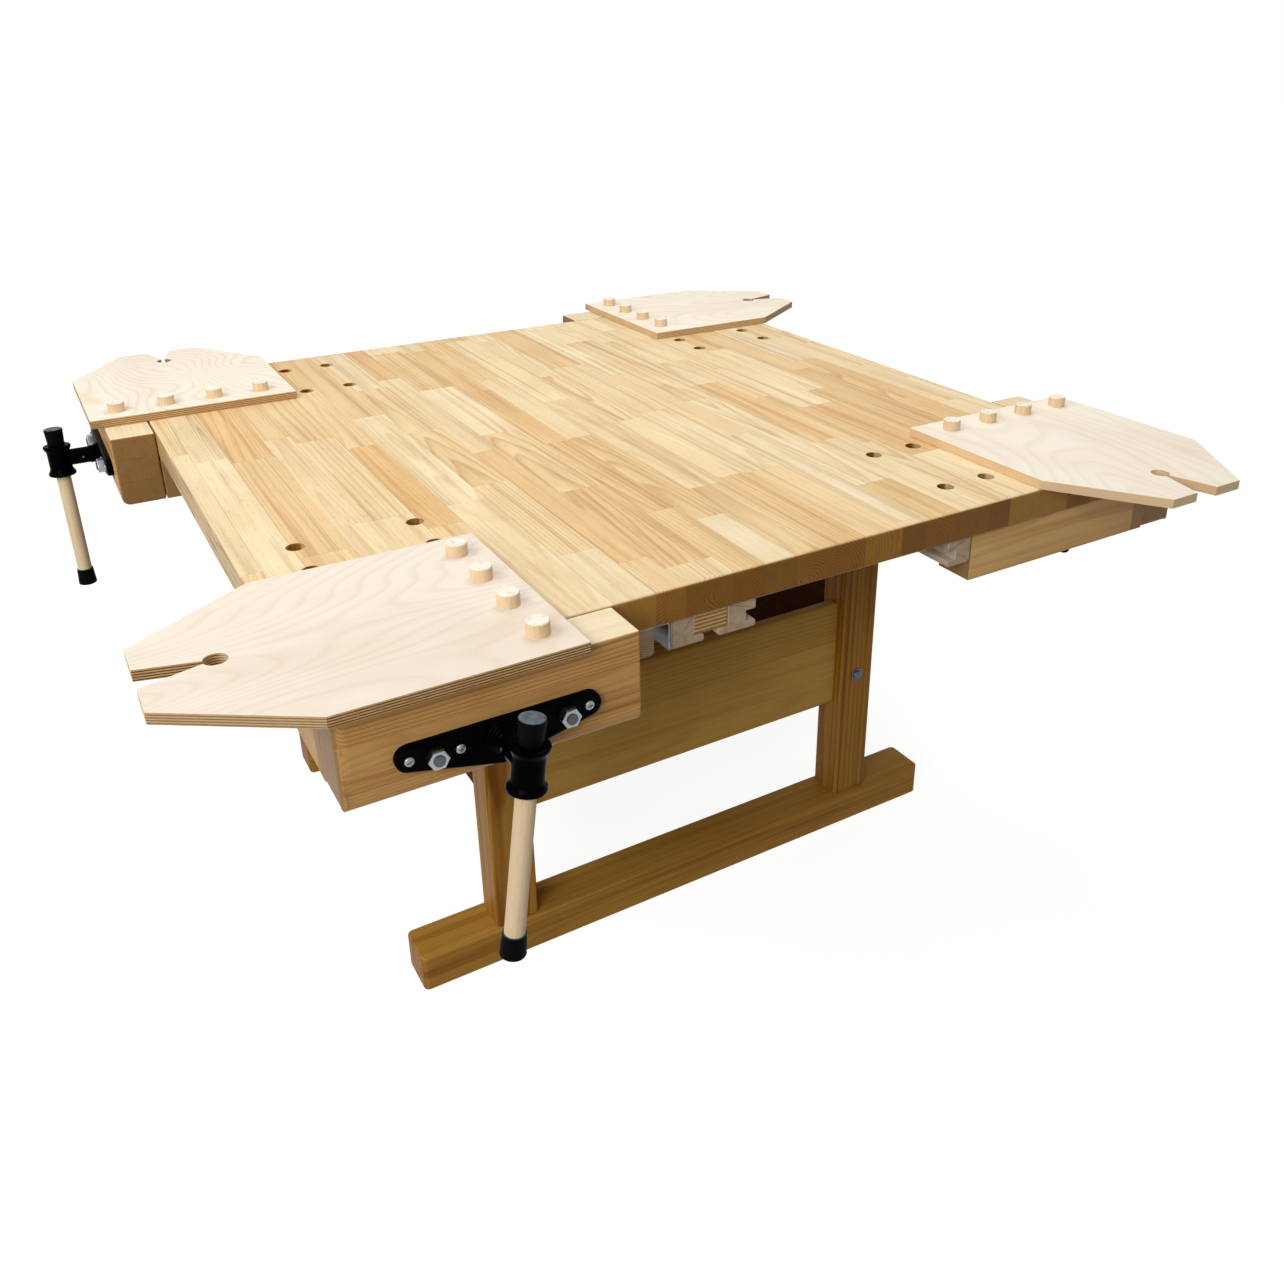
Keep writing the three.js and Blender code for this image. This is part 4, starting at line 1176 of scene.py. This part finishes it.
# Each board's tones of face and core, its painted edge light, and its figure's strength, number of lines
# and pace
BOARDS = (
    (shade(239, 229, 215), shade(84, 54, 24), (0.0, 0.5), 0.3, 52.0, (0.8, 6.0)),
    (BIRCH, shade(150, 112, 72), (0.0, 0.0), 0.6, 42.0, (3.0, 3.2)),
    (BIRCH, shade(150, 114, 72), (0.2, 0.5), 0.4, 26.0, (1.6, 5.0)),
    (BIRCH, shade(204, 168, 124), (0.6, 0.9), 0.3, 30.0, (1.4, 4.5)),
)
for turn in range(len(STATIONS)):
    make_housing(turn, 71.0 + turn)
    make_jaw(turn, 81.0 + turn)
    make_plate(turn)
    make_guides(turn)
    make_screw(turn)
    make_bracket(turn)
    make_handle(turn, 91.0 + turn)
    make_board(turn, 101.0 + turn * 3, *BOARDS[turn])

# Stage: a pale floor that fades to white, and a room that is dim but shows as white
WHITE = (1.0, 1.0, 1.0)
FLOOR_SIZE = 20
FLOOR_DROP = 0.0002
FLOOR_SHADE = (0.25, 0.25, 0.25)
FLOOR_BOUNCE = (0.2, 0.165, 0.125)
GLOW_REACH = (1.2, 4.5)
GLOW_LEVELS = (0.9, 1.0)
DIM_ROOM = (0.22, 0.205, 0.185)

floor_mesh = bmesh.new()
bmesh.ops.create_grid(floor_mesh, x_segments=8, y_segments=8, size=FLOOR_SIZE)
floor = placed("studio_floor", stored("studio_floor", floor_mesh))
floor.location.z = cad_low.z - FLOOR_DROP
paper = bpy.data.materials.new("pale_paper")
floor.data.materials.append(paper)
n = Nodes(paper)
# The floor's own glow grows outwards, so that it meets the white background without an edge.
away = n.add("VectorMath", operation="LENGTH")
n.fill(away, n.add("TexCoord").outputs["Object"])
fade = n.span(away.outputs["Value"], *GLOW_REACH, *GLOW_LEVELS)
glow = n.fill(n.add("Emission"), Color=WHITE, Strength=fade)
shown = n.fill(n.add("AddShader"), n.fill(n.add("BsdfDiffuse"), Color=FLOOR_SHADE), glow)
bounce = n.fill(n.add("BsdfDiffuse"), Color=FLOOR_BOUNCE)
choice = n.fill(n.add("MixShader"), n.seen_directly(), bounce, shown)
n.feed(n.add("OutputMaterial").inputs[0], choice)

scene.world = bpy.data.worlds.new("studio")
n = Nodes(scene.world)
dim = n.fill(n.add("Background"), Color=DIM_ROOM, Strength=1.0)
white = n.fill(n.add("Background"), Color=WHITE, Strength=1.0)
choice = n.fill(n.add("MixShader"), n.seen_directly(), dim, white)
n.feed(n.add("OutputWorld").inputs[0], choice)


def lamp(name, place, aim, size, power, colour=(1.0, 0.99, 0.97)):
    """A square soft lamp."""
    data = bpy.data.lights.new(name, "AREA")
    data.size = size
    data.energy = power
    data.color = colour
    made = placed(name, data)
    made.location = place
    made.rotation_euler = (Vector(aim) - Vector(place)).to_track_quat("-Z", "Y").to_euler()
    made.visible_camera = False


lamp("ceiling", (0.6, 0.3, 2.9), (0.2, 0.0, 0.7), size=1.7, power=31.0)
lamp("left_ceiling", (-2.1, 0.0, 2.4), (-0.5, -0.2, 0.2), size=1.2, power=23.0)
lamp("side_fill", (-3.1, -2.9, 2.6), (-0.1, -0.2, 0.5), size=2.2, power=90.0)
lamp("sparkle", (-1.3, -2.4, 2.4), (-0.4, -0.7, 0.65), size=0.06, power=3.0, colour=WHITE)

# The camera, fitted to the bench's corners; focal length and centre are in pixels of the photo
PHOTO_SIDE = 1284.0
FOCAL = 1155.612
CENTRE = (675.982, 536.066)
CAMERA_PLACE = (-0.84226, -1.71024, 1.34436)
YAW, PITCH, ROLL = 0.537, -0.414, -0.005

view = bpy.data.cameras.new("photo_view")
view.sensor_width = 36.0
view.lens = FOCAL / PHOTO_SIDE * view.sensor_width
view.shift_x = (PHOTO_SIDE / 2 - CENTRE[0]) / PHOTO_SIDE
view.shift_y = (CENTRE[1] - PHOTO_SIDE / 2) / PHOTO_SIDE
camera = placed("photo_view", view)
aim = Matrix.Rotation(-YAW, 4, "Z") @ Matrix.Rotation(math.pi / 2 + PITCH, 4, "X")
camera.matrix_world = Matrix.Translation(CAMERA_PLACE) @ aim @ Matrix.Rotation(ROLL, 4, "Z")
scene.camera = camera
scene.view_settings.view_transform = "Standard"
